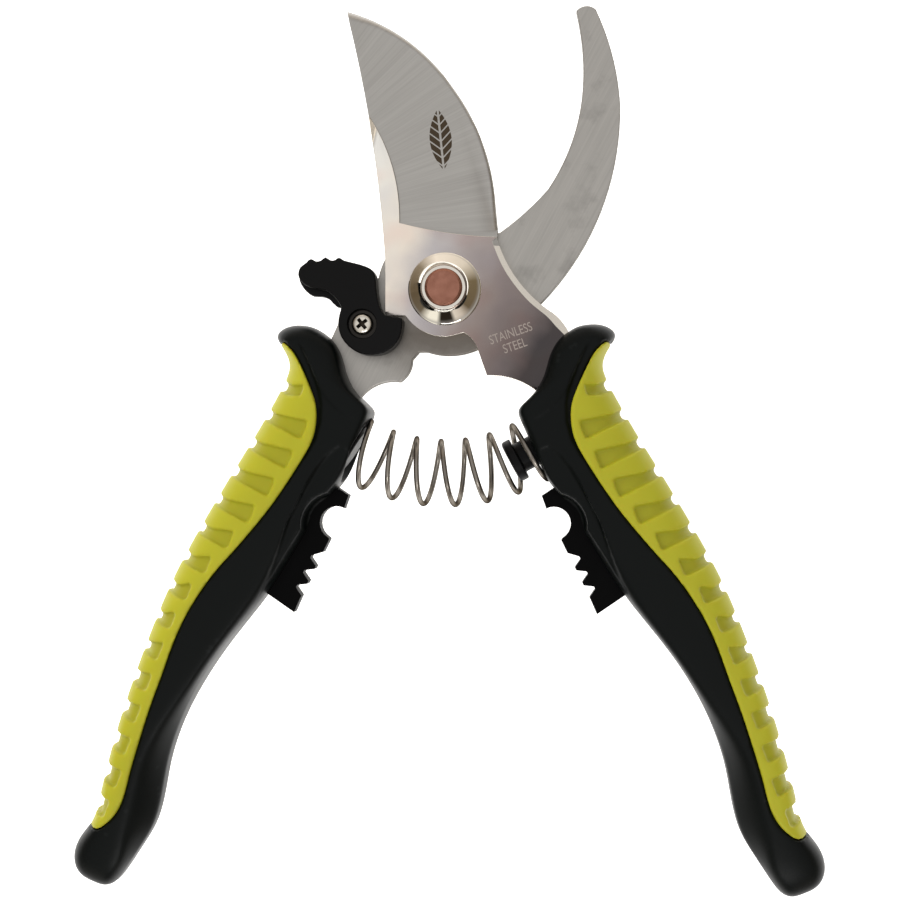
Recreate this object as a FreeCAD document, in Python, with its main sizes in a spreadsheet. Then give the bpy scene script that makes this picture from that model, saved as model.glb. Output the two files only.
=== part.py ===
import FreeCAD, Part
import math
import os
import re

import Sketcher

# Bypass pruner, lying flat with its jaws towards +Y and its front face up.
# The origin is on the pivot axis, at the rivet's flat back face.
# Each handle is drawn along its own line: "along" runs down the handle from the pivot,
# "out" runs square to it, away from the other handle.

SIZES = {
    # blades
    "blade_length": 59.0,
    "blade_back": 12.5,
    "blade_thick": 3.0,
    "blade_gap": 0.05,
    "edge_land": 0.4,
    "grind_depth": 1.6,
    "grind_radius": 180.0,
    "lobe_radius": 9.9,
    "neck_reach": 22.6,
    "hook_length": 60.2,
    "hook_reach": 36.5,
    "hook_thick": 3.0,
    "disc_radius": 14.5,
    "tang_end": 74.0,
    "tang_inner": 6.5,
    "tang_width": 6.5,
    # pivot
    "rivet_radius": 4.0,
    "rivet_end_radius": 3.75,
    "rivet_head_radius": 6.5,
    "rivet_head": 2.6,
    "rivet_proud": 0.7,
    "pivot_clearance": 0.05,
    "back_washer_radius": 7.6,
    "back_washer": 1.0,
    "cone_radius": 7.6,
    "cone_collar_radius": 4.4,
    "cone_rim": 0.8,
    "cone_height": 3.8,
    # lock
    "lock_out": 17.1,
    "lock_down": 7.3,
    "lever_thick": 5.2,
    "lever_gap": 0.1,
    "lever_round": 6.7,
    "lever_reach": 13.5,
    "lever_rise": 13.2,
    "lever_tail": 8.2,
    "recess_radius": 3.15,
    "recess_depth": 2.0,
    "screw_radius": 1.6,
    "screw_head_radius": 2.3,
    "screw_head": 1.5,
    "lock_washer_radius": 2.9,
    "lock_washer": 0.4,
    "running_gap": 0.05,
    # handles
    "handle_spread": 30.0,
    "handle_length": 145.3,
    "handle_width": 20.0,
    "handle_depth": 17.0,
    "flank": 0.8,
    "head_start": 20.8,
    "wall_start": 30.2,
    "beak_depth": 12.0,
    "beak_reach": 26.1,
    "grip_skin": 2.2,
    # stripping combs
    "comb_start": 48.2,
    "comb_end": 75.0,
    "comb_thick": 4.0,
    "comb_reach": 4.2,
    "comb_root": 3.8,
    "notch_radius": 3.55,
    "tooth_pitch": 3.5,
    "tooth_depth": 1.6,
    # spring and its seats
    "spring_arc": 38.3,
    "coil_radius": 6.65,
    "wire_radius": 0.55,
    "spring_turns": 7.0,
    "spring_gap": 0.35,
    "pocket_depth": 3.0,
    "pocket_clearance": 0.4,
    "stud_neck": 3.2,
    "stud_root": 4.2,
    "stud_reach": 5.9,
    "stud_flange": 2.0,
    "stud_flange_radius": 4.55,
    "boss_radius": 5.2,
}

LEFT = -1
RIGHT = 1

doc = FreeCAD.newDocument("bypass_pruner")
sheet = doc.addObject("Spreadsheet::Sheet", "Sizes")
for row, (alias, size) in enumerate(SIZES.items(), start=1):
    sheet.set(f"A{row}", alias)
    sheet.set(f"B{row}", str(size))
    sheet.setAlias(f"B{row}", alias)
doc.recompute()

# heights above the rivet's back face
HOOK_BACK = "(rivet_head + back_washer)"
HOOK_FRONT = f"({HOOK_BACK} + hook_thick)"
BLADE_BACK = f"({HOOK_FRONT} + blade_gap)"
BLADE_FRONT = f"({BLADE_BACK} + blade_thick)"
CONE_BACK = f"({BLADE_FRONT} + running_gap)"
RIVET_TOP = f"({CONE_BACK} + cone_height + rivet_proud)"
LEVER_BACK = f"({HOOK_FRONT} + lever_gap)"
LEVER_FRONT = f"({LEVER_BACK} + lever_thick)"
RECESS_FLOOR = f"({LEVER_FRONT} - recess_depth)"
LOCK_WASHER_BACK = f"({RECESS_FLOOR} + running_gap)"
SCREW_HEAD_BACK = f"({LOCK_WASHER_BACK} + lock_washer)"
SCREW_TOP = f"({SCREW_HEAD_BACK} + screw_head)"


def named(text):
    """The expression with each size's name pointed at the sheet."""
    return re.sub(r"[a-z_]{4,}", lambda m: "Sizes." + m[0] if m[0] in SIZES else m[0], str(text))


def value(text):
    return float(sheet.evalExpression(str(text)))


def bind(thing, **properties):
    for name, text in properties.items():
        thing.setExpression(name.replace("__", "."), named(text))


def new_body(name, x="0", y="0", z="0", turn="0"):
    body = doc.addObject("PartDesign::Body", name)
    bind(body, Placement__Base__x=x, Placement__Base__y=y, Placement__Base__z=z)
    bind(body, Placement__Rotation__Angle=turn)
    return body


def new_sketch(body, name, role="XY_Plane", lift="0"):
    sketch = body.newObject("Sketcher::SketchObject", name)
    plane = next(feature for feature in body.Origin.OriginFeatures if feature.Role == role)
    sketch.AttachmentSupport = [(plane, "")]
    sketch.MapMode = "FlatFace"
    bind(sketch, AttachmentOffset__Base__z=lift)
    return sketch


def hold(sketch, kind, *places, size):
    """Adds a dimension that follows the sheet."""
    index = sketch.addConstraint(Sketcher.Constraint(kind, *places, value(size)))
    sketch.setExpression(f"Constraints[{index}]", named(size))


def draw_outline(sketch, corners):
    """A closed outline through corners (x, y, rise). rise is the height of the arc to the
    next corner, to the left of the way there; 0 makes a straight side."""
    count = len(corners)
    points = [FreeCAD.Vector(value(x), value(y), 0) for x, y, rise in corners]
    for index, (x, y, rise) in enumerate(corners):
        start = points[index]
        end = points[(index + 1) % count]
        height = value(rise)
        if height == 0:
            sketch.addGeometry(Part.LineSegment(start, end))
        else:
            left = FreeCAD.Vector(start.y - end.y, end.x - start.x, 0).normalize()
            sketch.addGeometry(Part.Arc(start, (start + end) * 0.5 + left * height, end))
    for index, (x, y, rise) in enumerate(corners):
        following = (index + 1) % count
        # an arc that rises to the left is stored from its far end
        start_end = 2 if value(rise) > 0 else 1
        next_start = 2 if value(corners[following][2]) > 0 else 1
        sketch.addConstraint(Sketcher.Constraint("Coincident", index, 3 - start_end, following, next_start))
        hold(sketch, "DistanceX", -1, 1, index, start_end, size=x)
        hold(sketch, "DistanceY", -1, 1, index, start_end, size=y)
        if value(rise) != 0:
            next_x, next_y, _ = corners[following]
            chord = f"(pow(({next_x}) - ({x}); 2) + pow(({next_y}) - ({y}); 2))"
            hold(sketch, "Radius", index, size=f"{chord} / (8 * abs({rise})) + abs({rise}) / 2")


def draw_circle(sketch, x, y, radius):
    circle = Part.Circle(FreeCAD.Vector(value(x), value(y), 0), FreeCAD.Vector(0, 0, 1), value(radius))
    index = sketch.addGeometry(circle)
    hold(sketch, "DistanceX", -1, 1, index, 3, size=x)
    hold(sketch, "DistanceY", -1, 1, index, 3, size=y)
    hold(sketch, "Radius", index, size=radius)


def pad(body, sketch, length, midplane=False):
    made = body.newObject("PartDesign::Pad", sketch.Name + "_pad")
    made.Profile = sketch
    bind(made, Length=length)
    made.Midplane = midplane
    doc.recompute()
    return made


def bore(body, name, circles, from_height, depth):
    """Round holes upwards from a height."""
    sketch = new_sketch(body, name, lift=from_height)
    for x, y, radius in circles:
        draw_circle(sketch, x, y, radius)
    made = body.newObject("PartDesign::Pocket", name + "_pocket")
    made.Profile = sketch
    bind(made, Length=depth)
    made.Reversed = True
    doc.recompute()
    return made


def turn_profile(body, corners):
    """A lathe part about the body's own Z axis, from corners (radius, height, rise)."""
    sketch = new_sketch(body, body.Name + "_profile", role="XZ_Plane")
    draw_outline(sketch, corners)
    made = body.newObject("PartDesign::Revolution", body.Name + "_turned")
    made.Profile = sketch
    made.ReferenceAxis = (sketch, ["V_Axis"])
    made.Angle = 360
    doc.recompute()
    return made


def boolean(kind, name, base, tool):
    made = doc.addObject("Part::" + kind, name)
    made.Base = base
    made.Tool = tool
    doc.recompute()
    return made


def on_handle(side, along, out, rise="0"):
    """A corner given on a handle's own lines, for an outline drawn about the pivot."""
    x = f"{side} * (({out}) * cos(handle_spread) + ({along}) * sin(handle_spread))"
    y = f"(({out}) * sin(handle_spread) - ({along}) * cos(handle_spread))"
    return x, y, rise


def handle_body(side, name, height=HOOK_FRONT):
    return new_body(name, z=height, turn=f"{side} * handle_spread")


def handle_outline(side, corners):
    """Corners (along, out, rise) in a handle's own sketch."""
    return [(f"{side} * ({out})", f"-({along})", f"{side} * ({rise})") for along, out, rise in corners]


def below_comb(share):
    """A place between the comb's end and the handle's end."""
    return f"(comb_end + {share} * (handle_length - comb_end))"


def cutting_edge(inset):
    """Corners of the cutting edge from the tip to the heel, moved into the blade by inset."""
    return [
        (f"-blade_back - 8.4 - 0.28 * {inset}", f"blade_length - 0.96 * {inset}", "2.3"),
        (f"0.9 - 0.79 * {inset}", f"0.736 * blade_length - 0.61 * {inset}", "1.75"),
        (f"10.3 - 0.97 * {inset}", f"0.337 * blade_length - 0.24 * {inset}", "0"),
        (f"11 - {inset}", "0.21 * blade_length", "0"),
    ]


def make_cutting_blade():
    blank = new_body("cutting_blade_blank", z=BLADE_BACK)
    outline = new_sketch(blank, "cutting_blade_outline")
    corners = [
        *cutting_edge("0"),
        ("10.9", "0.176 * blade_length", "-1.75"),
        ("neck_reach", "-5.1", "0.3"),
        on_handle(RIGHT, "head_start", "tang_inner + 11.3"),
        on_handle(RIGHT, "head_start + 9.5", "tang_inner + tang_width + 1.5"),
        on_handle(RIGHT, "tang_end", "tang_inner + tang_width - 1.5"),
        on_handle(RIGHT, "tang_end", "tang_inner"),
        on_handle(RIGHT, "wall_start - 0.6", "tang_inner", "-1.3"),
        ("8.8", "-18", "0"),
        ("6.9", "-12.6", "-0.45"),
        ("4", "-sqrt(pow(lobe_radius; 2) - 16)", "0"),
        ("0.9", "-sqrt(pow(lobe_radius; 2) - 0.81)", "0.13 * lobe_radius"),
        ("-sqrt(pow(lobe_radius; 2) - 33.64)", "-5.8", "0"),
        ("-lobe_radius + 1.6", "-5.5", "0"),
        ("-blade_back + 0.7", "-5.5", "0.15"),
        ("-blade_back", "-4.7", "0"),
        ("-blade_back", "0.114 * blade_length", "-1.2"),
    ]
    draw_outline(outline, corners)
    pad(blank, outline, "blade_thick")
    bore(
        blank,
        "cutting_blade_bore",
        [("0", "0", "rivet_radius + pivot_clearance")],
        "0",
        "blade_thick",
    )
    ground = boolean("Cut", "ground_blade", blank, make_grind())
    return boolean("Cut", "cutting_blade", ground, make_edge_wedge())


def make_grind():
    """What the grinding wheel takes off: it lies along the blade's back and is deepest
    over the cutting edge."""
    zone = new_body("grind_zone", z=BLADE_BACK)
    outline = new_sketch(zone, "grind_zone_outline")
    draw_outline(
        outline,
        [
            ("-blade_back + 3", "0.236 * blade_length", "-1.5"),
            ("neck_reach", "0.19 * blade_length", "0"),
            ("neck_reach", "1.1 * blade_length", "0"),
            ("-blade_back - 14", "1.1 * blade_length", "0"),
            ("-blade_back - 6", "0.62 * blade_length", "0"),
            ("-blade_back - 3.4", "0.615 * blade_length", "1.8"),
        ],
    )
    pad(zone, outline, "blade_thick + 1")
    wheel = doc.addObject("Part::Cylinder", "grind_wheel")
    bind(wheel, Radius="grind_radius", Height="3 * blade_length")
    lean = math.atan2(8.4, value("0.886 * blade_length"))
    along_back = FreeCAD.Vector(-math.sin(lean), math.cos(lean), 0)
    over_edge = FreeCAD.Vector(math.cos(lean), math.sin(lean), 0) * 10.4
    centre = over_edge - along_back * value("blade_length")
    centre.z = value(f"{BLADE_FRONT} - grind_depth + grind_radius")
    turn = FreeCAD.Rotation(FreeCAD.Vector(0, 0, 1), along_back)
    wheel.Placement = FreeCAD.Placement(centre, turn)
    return boolean("Common", "ground_face", zone, wheel)


def make_edge_wedge():
    """The bevel along the cutting edge, at 45 degrees above a narrow land."""
    wedge = new_body("edge_wedge", z=BLADE_BACK)
    sections = []
    for name, inset in (("edge_wedge_foot", "0"), ("edge_wedge_top", "blade_thick")):
        section = new_sketch(wedge, name, lift=f"edge_land + {inset}")
        draw_outline(
            section,
            [
                *cutting_edge(inset),
                ("2 * neck_reach", "0.21 * blade_length", "0"),
                ("2 * neck_reach", "1.3 * blade_length", "0"),
                ("-blade_back - 8.4", "1.3 * blade_length", "0"),
            ],
        )
        sections.append(section)
    loft = wedge.newObject("PartDesign::AdditiveLoft", "edge_wedge_loft")
    loft.Profile = sections[0]
    loft.Sections = sections[1:]
    loft.Ruled = True
    doc.recompute()
    return wedge


def make_counter_blade():
    body = new_body("counter_blade", z=HOOK_BACK)
    corners = [
        ("hook_reach - 9.2", "hook_length - 1.7", "0.75"),
        ("hook_reach - 8", "0.671 * hook_length", "1.25"),
        ("hook_reach - 15.1", "0.351 * hook_length", "0.4"),
        ("hook_reach - 25.2", "0.201 * hook_length", "0"),
        ("0.54 * disc_radius", "0.842 * disc_radius", "-0.179 * disc_radius"),
        ("-0.6 * disc_radius", "0.8 * disc_radius", "-0.066 * disc_radius"),
        ("-0.98 * disc_radius", "0.199 * disc_radius", "0"),
        ("-22.7", "-6.7", "0"),
        on_handle(LEFT, "head_start + 0.3", "tang_inner + 9.4"),
        on_handle(LEFT, "head_start + 9.5", "tang_inner + tang_width + 1.5"),
        on_handle(LEFT, "tang_end", "tang_inner + tang_width - 1.5"),
        on_handle(LEFT, "tang_end", "tang_inner"),
        on_handle(LEFT, "head_start + 16", "tang_inner"),
        on_handle(LEFT, "wall_start - 1.1", "tang_inner - 2.1", "1.4"),
        ("-9.6", "-19.2", "-0.7"),
        ("-7", "-14.5", "0"),
        ("-5.6", "-12.9", "0"),
        ("-3.9", "-12.9", "-1"),
        ("6.7", "-12.4", "-0.7"),
        ("12.4", "-7.4", "0"),
        ("20.1", "-2.7", "-0.5"),
        ("0.803 * hook_reach", "0.161 * hook_length", "-1.95"),
        ("hook_reach", "0.641 * hook_length", "-1"),
        ("hook_reach - 5.1", "hook_length - 1.4", "-0.9"),
    ]
    outline = new_sketch(body, "counter_blade_outline")
    draw_outline(outline, corners)
    pad(body, outline, "hook_thick")
    bore(
        body,
        "counter_blade_bores",
        [("0", "0", "rivet_radius"), ("-lock_out", "-lock_down", "screw_radius")],
        "0",
        "hook_thick",
    )
    return body


def make_pivot():
    rivet = new_body("pivot_rivet")
    turn_profile(
        rivet,
        [
            ("0", "0", "0"),
            ("rivet_head_radius - 0.8", "0", "0"),
            ("rivet_head_radius", "0.8", "0"),
            ("rivet_head_radius", "rivet_head", "0"),
            ("rivet_radius", "rivet_head", "0"),
            ("rivet_radius", CONE_BACK, "0"),
            ("rivet_end_radius", CONE_BACK, "0"),
            ("rivet_end_radius", f"{RIVET_TOP} - 0.3", "0"),
            ("rivet_end_radius - 0.4", RIVET_TOP, "0"),
            ("0.35 * rivet_end_radius", f"{RIVET_TOP} - 0.3", "0"),
            ("0", f"{RIVET_TOP} - 0.3", "0"),
        ],
    )
    back_washer = new_body("pivot_back_washer", z="rivet_head")
    turn_profile(
        back_washer,
        [
            ("rivet_radius", "0", "0"),
            ("back_washer_radius - 0.3", "0", "0"),
            ("back_washer_radius", "0.3", "0"),
            ("back_washer_radius", "back_washer", "0"),
            ("rivet_radius", "back_washer", "0"),
        ],
    )
    cone_washer = new_body("pivot_cone_washer", z=CONE_BACK)
    turn_profile(
        cone_washer,
        [
            ("rivet_end_radius", "0", "0"),
            ("cone_radius", "0", "0"),
            ("cone_radius", "cone_rim - 0.2", "0"),
            ("cone_radius - 0.2", "cone_rim", "0"),
            ("cone_radius - 0.9", "cone_rim", "0.5"),
            ("cone_collar_radius", "cone_height - 0.3", "-0.12"),
            ("cone_collar_radius - 0.3", "cone_height", "0"),
            ("rivet_end_radius", "cone_height", "0"),
        ],
    )
    return [rivet, back_washer, cone_washer]


def make_lock():
    lever = new_body("lock_lever", x="-lock_out", y="-lock_down", z=LEVER_BACK)
    bump = [
        (f"-lever_reach + {1.6 + 2.9 * index}", f"lever_rise - 0.7 + {0.1 * index}", "0.75")
        for index in range(3)
    ]
    corners = [
        ("-lever_reach", "lever_rise - 2.5", "0.3"),
        *bump,
        ("-lever_reach + 10.3", "lever_rise - 0.3", "0.3"),
        ("2.1", "lever_rise - 1.9", "0.15"),
        ("2.5", "0.74 * lever_rise", "0"),
        ("3.8", "2.5", "0"),
        ("5", "1.4", "0"),
        ("lever_tail - 0.4", "1.2", "0"),
        ("lever_tail", "0.4", "0"),
        ("lever_tail - 0.5", "-1.2", "1.5"),
        ("1.6", "-lever_round", "2.2"),
        ("-lever_round + 1.6", "0", "0"),
        ("-lever_round + 2.2", "0.2 * lever_rise", "0.2"),
        ("-0.57 * lever_reach", "0.47 * lever_rise", "0"),
        ("-0.73 * lever_reach", "0.45 * lever_rise", "0.3"),
    ]
    outline = new_sketch(lever, "lock_lever_outline")
    draw_outline(outline, corners)
    pad(lever, outline, "lever_thick")
    bore(lever, "lock_lever_bore", [("0", "0", "screw_radius + pivot_clearance")], "0", "lever_thick")
    bore(lever, "lock_lever_recess", [("0", "0", "recess_radius")], "lever_thick - recess_depth", "recess_depth")

    screw = new_body("lock_screw", x="-lock_out", y="-lock_down")
    turn_profile(
        screw,
        [
            ("0", f"{HOOK_BACK} + 0.2", "0"),
            ("screw_radius - 0.3", f"{HOOK_BACK} + 0.2", "0"),
            ("screw_radius", f"{HOOK_BACK} + 0.5", "0"),
            ("screw_radius", SCREW_HEAD_BACK, "0"),
            ("screw_head_radius", SCREW_HEAD_BACK, "0"),
            ("screw_head_radius", f"{SCREW_TOP} - 0.8", "-0.35"),
            ("0", SCREW_TOP, "0"),
        ],
    )
    cross = new_sketch(screw, "lock_screw_cross", lift=f"{SCREW_TOP} - 0.9")
    arm = "0.65 * screw_head_radius"
    slot = "0.16 * screw_head_radius"
    draw_outline(
        cross,
        [
            (f"{slot}", f"{slot}", "0"),
            (f"{slot}", f"{arm}", "0"),
            (f"-{slot}", f"{arm}", "0"),
            (f"-{slot}", f"{slot}", "0"),
            (f"-{arm}", f"{slot}", "0"),
            (f"-{arm}", f"-{slot}", "0"),
            (f"-{slot}", f"-{slot}", "0"),
            (f"-{slot}", f"-{arm}", "0"),
            (f"{slot}", f"-{arm}", "0"),
            (f"{slot}", f"-{slot}", "0"),
            (f"{arm}", f"-{slot}", "0"),
            (f"{arm}", f"{slot}", "0"),
        ],
    )
    recess = screw.newObject("PartDesign::Pocket", "lock_screw_recess")
    recess.Profile = cross
    recess.Length = 2
    recess.Reversed = True
    doc.recompute()

    washer = new_body("lock_wave_washer", x="-lock_out", y="-lock_down", z=LOCK_WASHER_BACK)
    turn_profile(
        washer,
        [
            ("screw_radius", "0", "0"),
            ("lock_washer_radius", "0", "0"),
            ("lock_washer_radius", "lock_washer", "0"),
            ("screw_radius", "lock_washer", "0"),
        ],
    )
    return [lever, screw, washer]


def handle_sections(side, name):
    """The handle's rounded cross-sections, lofted from head to tail a little outside its
    outline."""
    body = handle_body(side, name)
    stations = [
        ("head_start - 2", "-1.6", "handle_width", "handle_depth"),
        ("wall_start", "-1.6", "handle_width", "handle_depth"),
        ("comb_start + 2", "-1.6", "handle_width", "handle_depth"),
        ("comb_end", "0", "handle_width", "handle_depth"),
        (below_comb(0.327), "3.1", "0.855 * handle_width", "handle_depth"),
        (below_comb(0.55), "1", "0.7 * handle_width", "handle_depth - 0.5"),
        (below_comb(0.772), "-3.8", "0.49 * handle_width", "handle_depth - 1.5"),
        (below_comb(0.93), "-2.8", "0.47 * handle_width", "handle_depth - 3"),
        ("handle_length + 1", "-2.4", "0.47 * handle_width", "handle_depth - 8"),
    ]
    sections = []
    for number, (along, inner, outer, depth) in enumerate(stations):
        section = new_sketch(body, f"{name}_section_{number}", role="XZ_Plane", lift=along)
        low = f"({inner} - flank)"
        high = f"({outer} + flank)"
        half = f"({depth}) / 2"
        corner = f"0.33 * ({depth})"
        # a quarter circle rises by this share of its radius above its chord
        rise = f"-0.29289 * {corner}"
        corners = [
            (f"{low} + {corner}", f"-{half}", "0"),
            (f"{high} - {corner}", f"-{half}", rise),
            (high, f"-{half} + {corner}", "0"),
            (high, f"{half} - {corner}", rise),
            (f"{high} - {corner}", half, "0"),
            (f"{low} + {corner}", half, rise),
            (low, f"{half} - {corner}", "0"),
            (low, f"-{half} + {corner}", rise),
        ]
        draw_outline(section, [(f"{side} * ({x})", y, f"{side} * ({bulge})") for x, y, bulge in corners])
        sections.append(section)
    loft = body.newObject("PartDesign::AdditiveLoft", name + "_loft")
    loft.Profile = sections[0]
    loft.Sections = sections[1:]
    doc.recompute()
    return body


def handle_form(side, name):
    """The whole outside form of one handle, before it is split into its mouldings."""
    block = handle_body(side, name + "_block")
    outline = new_sketch(block, name + "_outline")
    draw_outline(
        outline,
        handle_outline(
            side,
            [
                ("wall_start", "0.9", "0"),
                ("wall_start + 4.1", "-0.3", "0"),
                ("comb_start - 1.3", "-1.6", "0"),
                ("comb_start", "-0.3", "0"),
                ("comb_end", "0", "2.5"),
                (below_comb(0.54), "1.2", "-0.3"),
                (below_comb(0.772), "-3.9", "0"),
                (below_comb(0.976), "-2.3", "-0.5"),
                ("handle_length", "2.2", "-2"),
                (below_comb(0.93), "0.47 * handle_width", "-0.5"),
                (below_comb(0.842), "0.41 * handle_width", "-0.6"),
                (below_comb(0.327), "0.855 * handle_width", "-1"),
                ("comb_end - 11", "handle_width + 0.2", "0"),
                ("head_start + 6.7", "handle_width", "-1.4"),
                ("head_start + 0.2", "handle_width - 3.8", "-0.6"),
                ("wall_start - 4.2", "10.3", "0.7"),
            ],
        ),
    )
    pad(block, outline, "handle_depth + 2", midplane=True)
    rounded = boolean("Common", name + "_rounded", block, handle_sections(side, name + "_sections"))

    beak = handle_body(side, name + "_beak")
    outline = new_sketch(beak, name + "_beak_outline")
    draw_outline(
        outline,
        handle_outline(
            side,
            [
                ("head_start + 13", "handle_width - 1.5", "0"),
                ("head_start + 12", "handle_width - 0.1", "0.6"),
                ("head_start + 7.1", "beak_reach - 2.5", "-0.4"),
                ("head_start + 5.2", "beak_reach", "-0.85"),
                ("head_start + 0.4", "beak_reach - 5.2", "-0.2"),
                ("head_start", "beak_reach - 8.6", "0"),
                ("head_start + 3", "handle_width - 6", "0"),
            ],
        ),
    )
    pad(beak, outline, "beak_depth", midplane=True)
    return boolean("Fuse", name, rounded, beak)


def grip_zone(side, name):
    """Everything outside the line where the soft grip begins."""
    body = handle_body(side, name)
    outline = new_sketch(body, name + "_outline")
    beyond = "beak_reach + 10"
    draw_outline(
        outline,
        handle_outline(
            side,
            [
                ("head_start + 6.9", "beak_reach - 6.1", "-0.5"),
                ("wall_start + 3.9", "10.9", "-0.4"),
                ("wall_start + 11.3", "7.5", "0"),
                ("comb_end - 20", "7.9", "0.3"),
                (below_comb(0.157), "12.2", "0.7"),
                (below_comb(0.761), "4.3", "-1.35"),
                (below_comb(0.869), "8.2", "0"),
                (below_comb(0.882), beyond, "0"),
                ("head_start + 7.8", beyond, "0"),
            ],
        ),
    )
    pad(body, outline, "2 * handle_depth", midplane=True)
    return body


def grip_bed(side, name):
    """The rib of the shell that the soft grip is moulded around."""
    body = handle_body(side, name)
    outline = new_sketch(body, name + "_outline")
    draw_outline(
        outline,
        handle_outline(
            side,
            [
                ("wall_start - 1", "5", "0"),
                (below_comb(0.75), "2", "0"),
                (below_comb(0.8), "0.45 * handle_width - grip_skin", "-0.5"),
                (below_comb(0.327), "0.855 * handle_width - grip_skin", "-1"),
                ("comb_end - 11", "handle_width - grip_skin", "0"),
                ("wall_start - 1", "handle_width - grip_skin", "0"),
            ],
        ),
    )
    pad(body, outline, "handle_depth - 2 * grip_skin", midplane=True)
    return body


def make_comb(side, name, form, teeth):
    """The black stripping comb: a root let into the handle and a thin toothed plate."""
    root = handle_body(side, name + "_root")
    outline = new_sketch(root, name + "_root_outline")
    draw_outline(
        outline,
        handle_outline(
            side,
            [
                ("comb_start - 0.6", "-3", "0"),
                ("comb_end + 0.4", "-3", "0"),
                ("comb_end - 0.2", "comb_root - 2.4", "0"),
                ("comb_start + 5.8", "comb_root", "0.2"),
                ("comb_start", "comb_root - 1.8", "0"),
            ],
        ),
    )
    pad(root, outline, "2 * handle_depth", midplane=True)
    let_in = boolean("Common", name + "_let_in", root, form)

    plate = handle_body(side, name + "_plate")
    outline = new_sketch(plate, name + "_plate_outline")
    notch_start = "comb_start + 2.2"
    notch_end = f"{notch_start} + 2 * notch_radius"
    tip_line = "-(comb_reach + 0.7 + 0.08 * ({along} - comb_start - 9.4))"
    corners = [
        ("comb_start + 1", "1", "0"),
        ("comb_start + 0.1", "-1", "0"),
        ("comb_start + 0.1", "-comb_reach", "0"),
        (notch_start, "-comb_reach - 0.1", "0.9 * notch_radius"),
        (notch_end, "-comb_reach - 0.1", "0"),
    ]
    for tooth in reversed(range(teeth)):
        valley = f"(comb_end - 4.6 - {tooth} * tooth_pitch)"
        before = f"({valley} - 0.4 * tooth_pitch)"
        after = f"({valley} + 0.4 * tooth_pitch)"
        corners.append((before, tip_line.format(along=before), "0"))
        corners.append((valley, tip_line.format(along=valley) + " + tooth_depth", "0"))
        corners.append((after, tip_line.format(along=after), "0"))
    corners.append(("comb_end + 0.2", tip_line.format(along="comb_end"), "0"))
    corners.append(("comb_end - 0.4", "1", "0"))
    draw_outline(outline, handle_outline(side, corners))
    pad(plate, outline, "comb_thick", midplane=True)
    return boolean("Fuse", name, let_in, plate)


def wall_place(side, behind="0", facing="0"):
    """The point on the spring's arc this far behind a handle's inner wall, and the spring's
    direction, out of the wall, where it is taken. Also the point's angle about the pivot."""
    wall_out = value("0.9 - 2.5 * (spring_arc - wall_start) / (comb_start - 1.3 - wall_start)")
    at_wall = value("handle_spread") + math.degrees(math.asin(wall_out / value("spring_arc")))
    angle = at_wall + math.degrees(value(behind) / value("spring_arc"))
    heading = math.radians(at_wall) + value(facing) / value("spring_arc")
    point = FreeCAD.Vector(
        side * value("spring_arc") * math.sin(math.radians(angle)),
        -value("spring_arc") * math.cos(math.radians(angle)),
        value(HOOK_FRONT),
    )
    direction = FreeCAD.Vector(-side * math.cos(heading), -math.sin(heading), 0)
    return point, direction, angle


def stand_on_wall(thing, side, behind, facing):
    """Places a round part, whose own axis is Z, along the spring's line at a handle's wall."""
    point, direction, _ = wall_place(side, behind, facing)
    thing.Placement = FreeCAD.Placement(point, FreeCAD.Rotation(FreeCAD.Vector(0, 0, 1), direction))


def make_right_stud():
    stud = doc.addObject("PartDesign::Body", "right_spring_stud")
    stand_on_wall(stud, RIGHT, "0", "(stud_root - stud_reach) / 2")
    turn_profile(
        stud,
        [
            ("0", "-stud_root", "0"),
            ("stud_neck", "-stud_root", "0"),
            ("stud_neck", "stud_reach - stud_flange", "0"),
            ("stud_flange_radius", "stud_reach - stud_flange", "0"),
            ("stud_flange_radius", "stud_reach - 0.4", "0"),
            ("stud_flange_radius - 0.4", "stud_reach", "0"),
            ("0", "stud_reach", "0"),
        ],
    )
    return stud


def make_left_stud():
    stud = doc.addObject("PartDesign::Body", "left_spring_stud")
    stand_on_wall(stud, LEFT, "pocket_depth", "pocket_depth / 2")
    turn_profile(
        stud,
        [
            ("0", "-stud_root + pocket_depth", "0"),
            ("stud_neck", "-stud_root + pocket_depth", "0"),
            ("stud_neck", "0", "0"),
            ("boss_radius", "0", "0"),
            ("boss_radius", "pocket_depth - 0.6", "0"),
            ("boss_radius - 0.6", "pocket_depth", "0"),
            ("0", "pocket_depth", "0"),
        ],
    )
    return stud


def make_spring_pocket():
    pocket = doc.addObject("Part::Cylinder", "spring_pocket")
    bind(pocket, Radius="coil_radius + wire_radius + pocket_clearance", Height="pocket_depth + coil_radius")
    stand_on_wall(pocket, LEFT, "pocket_depth", "pocket_depth / 2")
    return pocket


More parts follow.
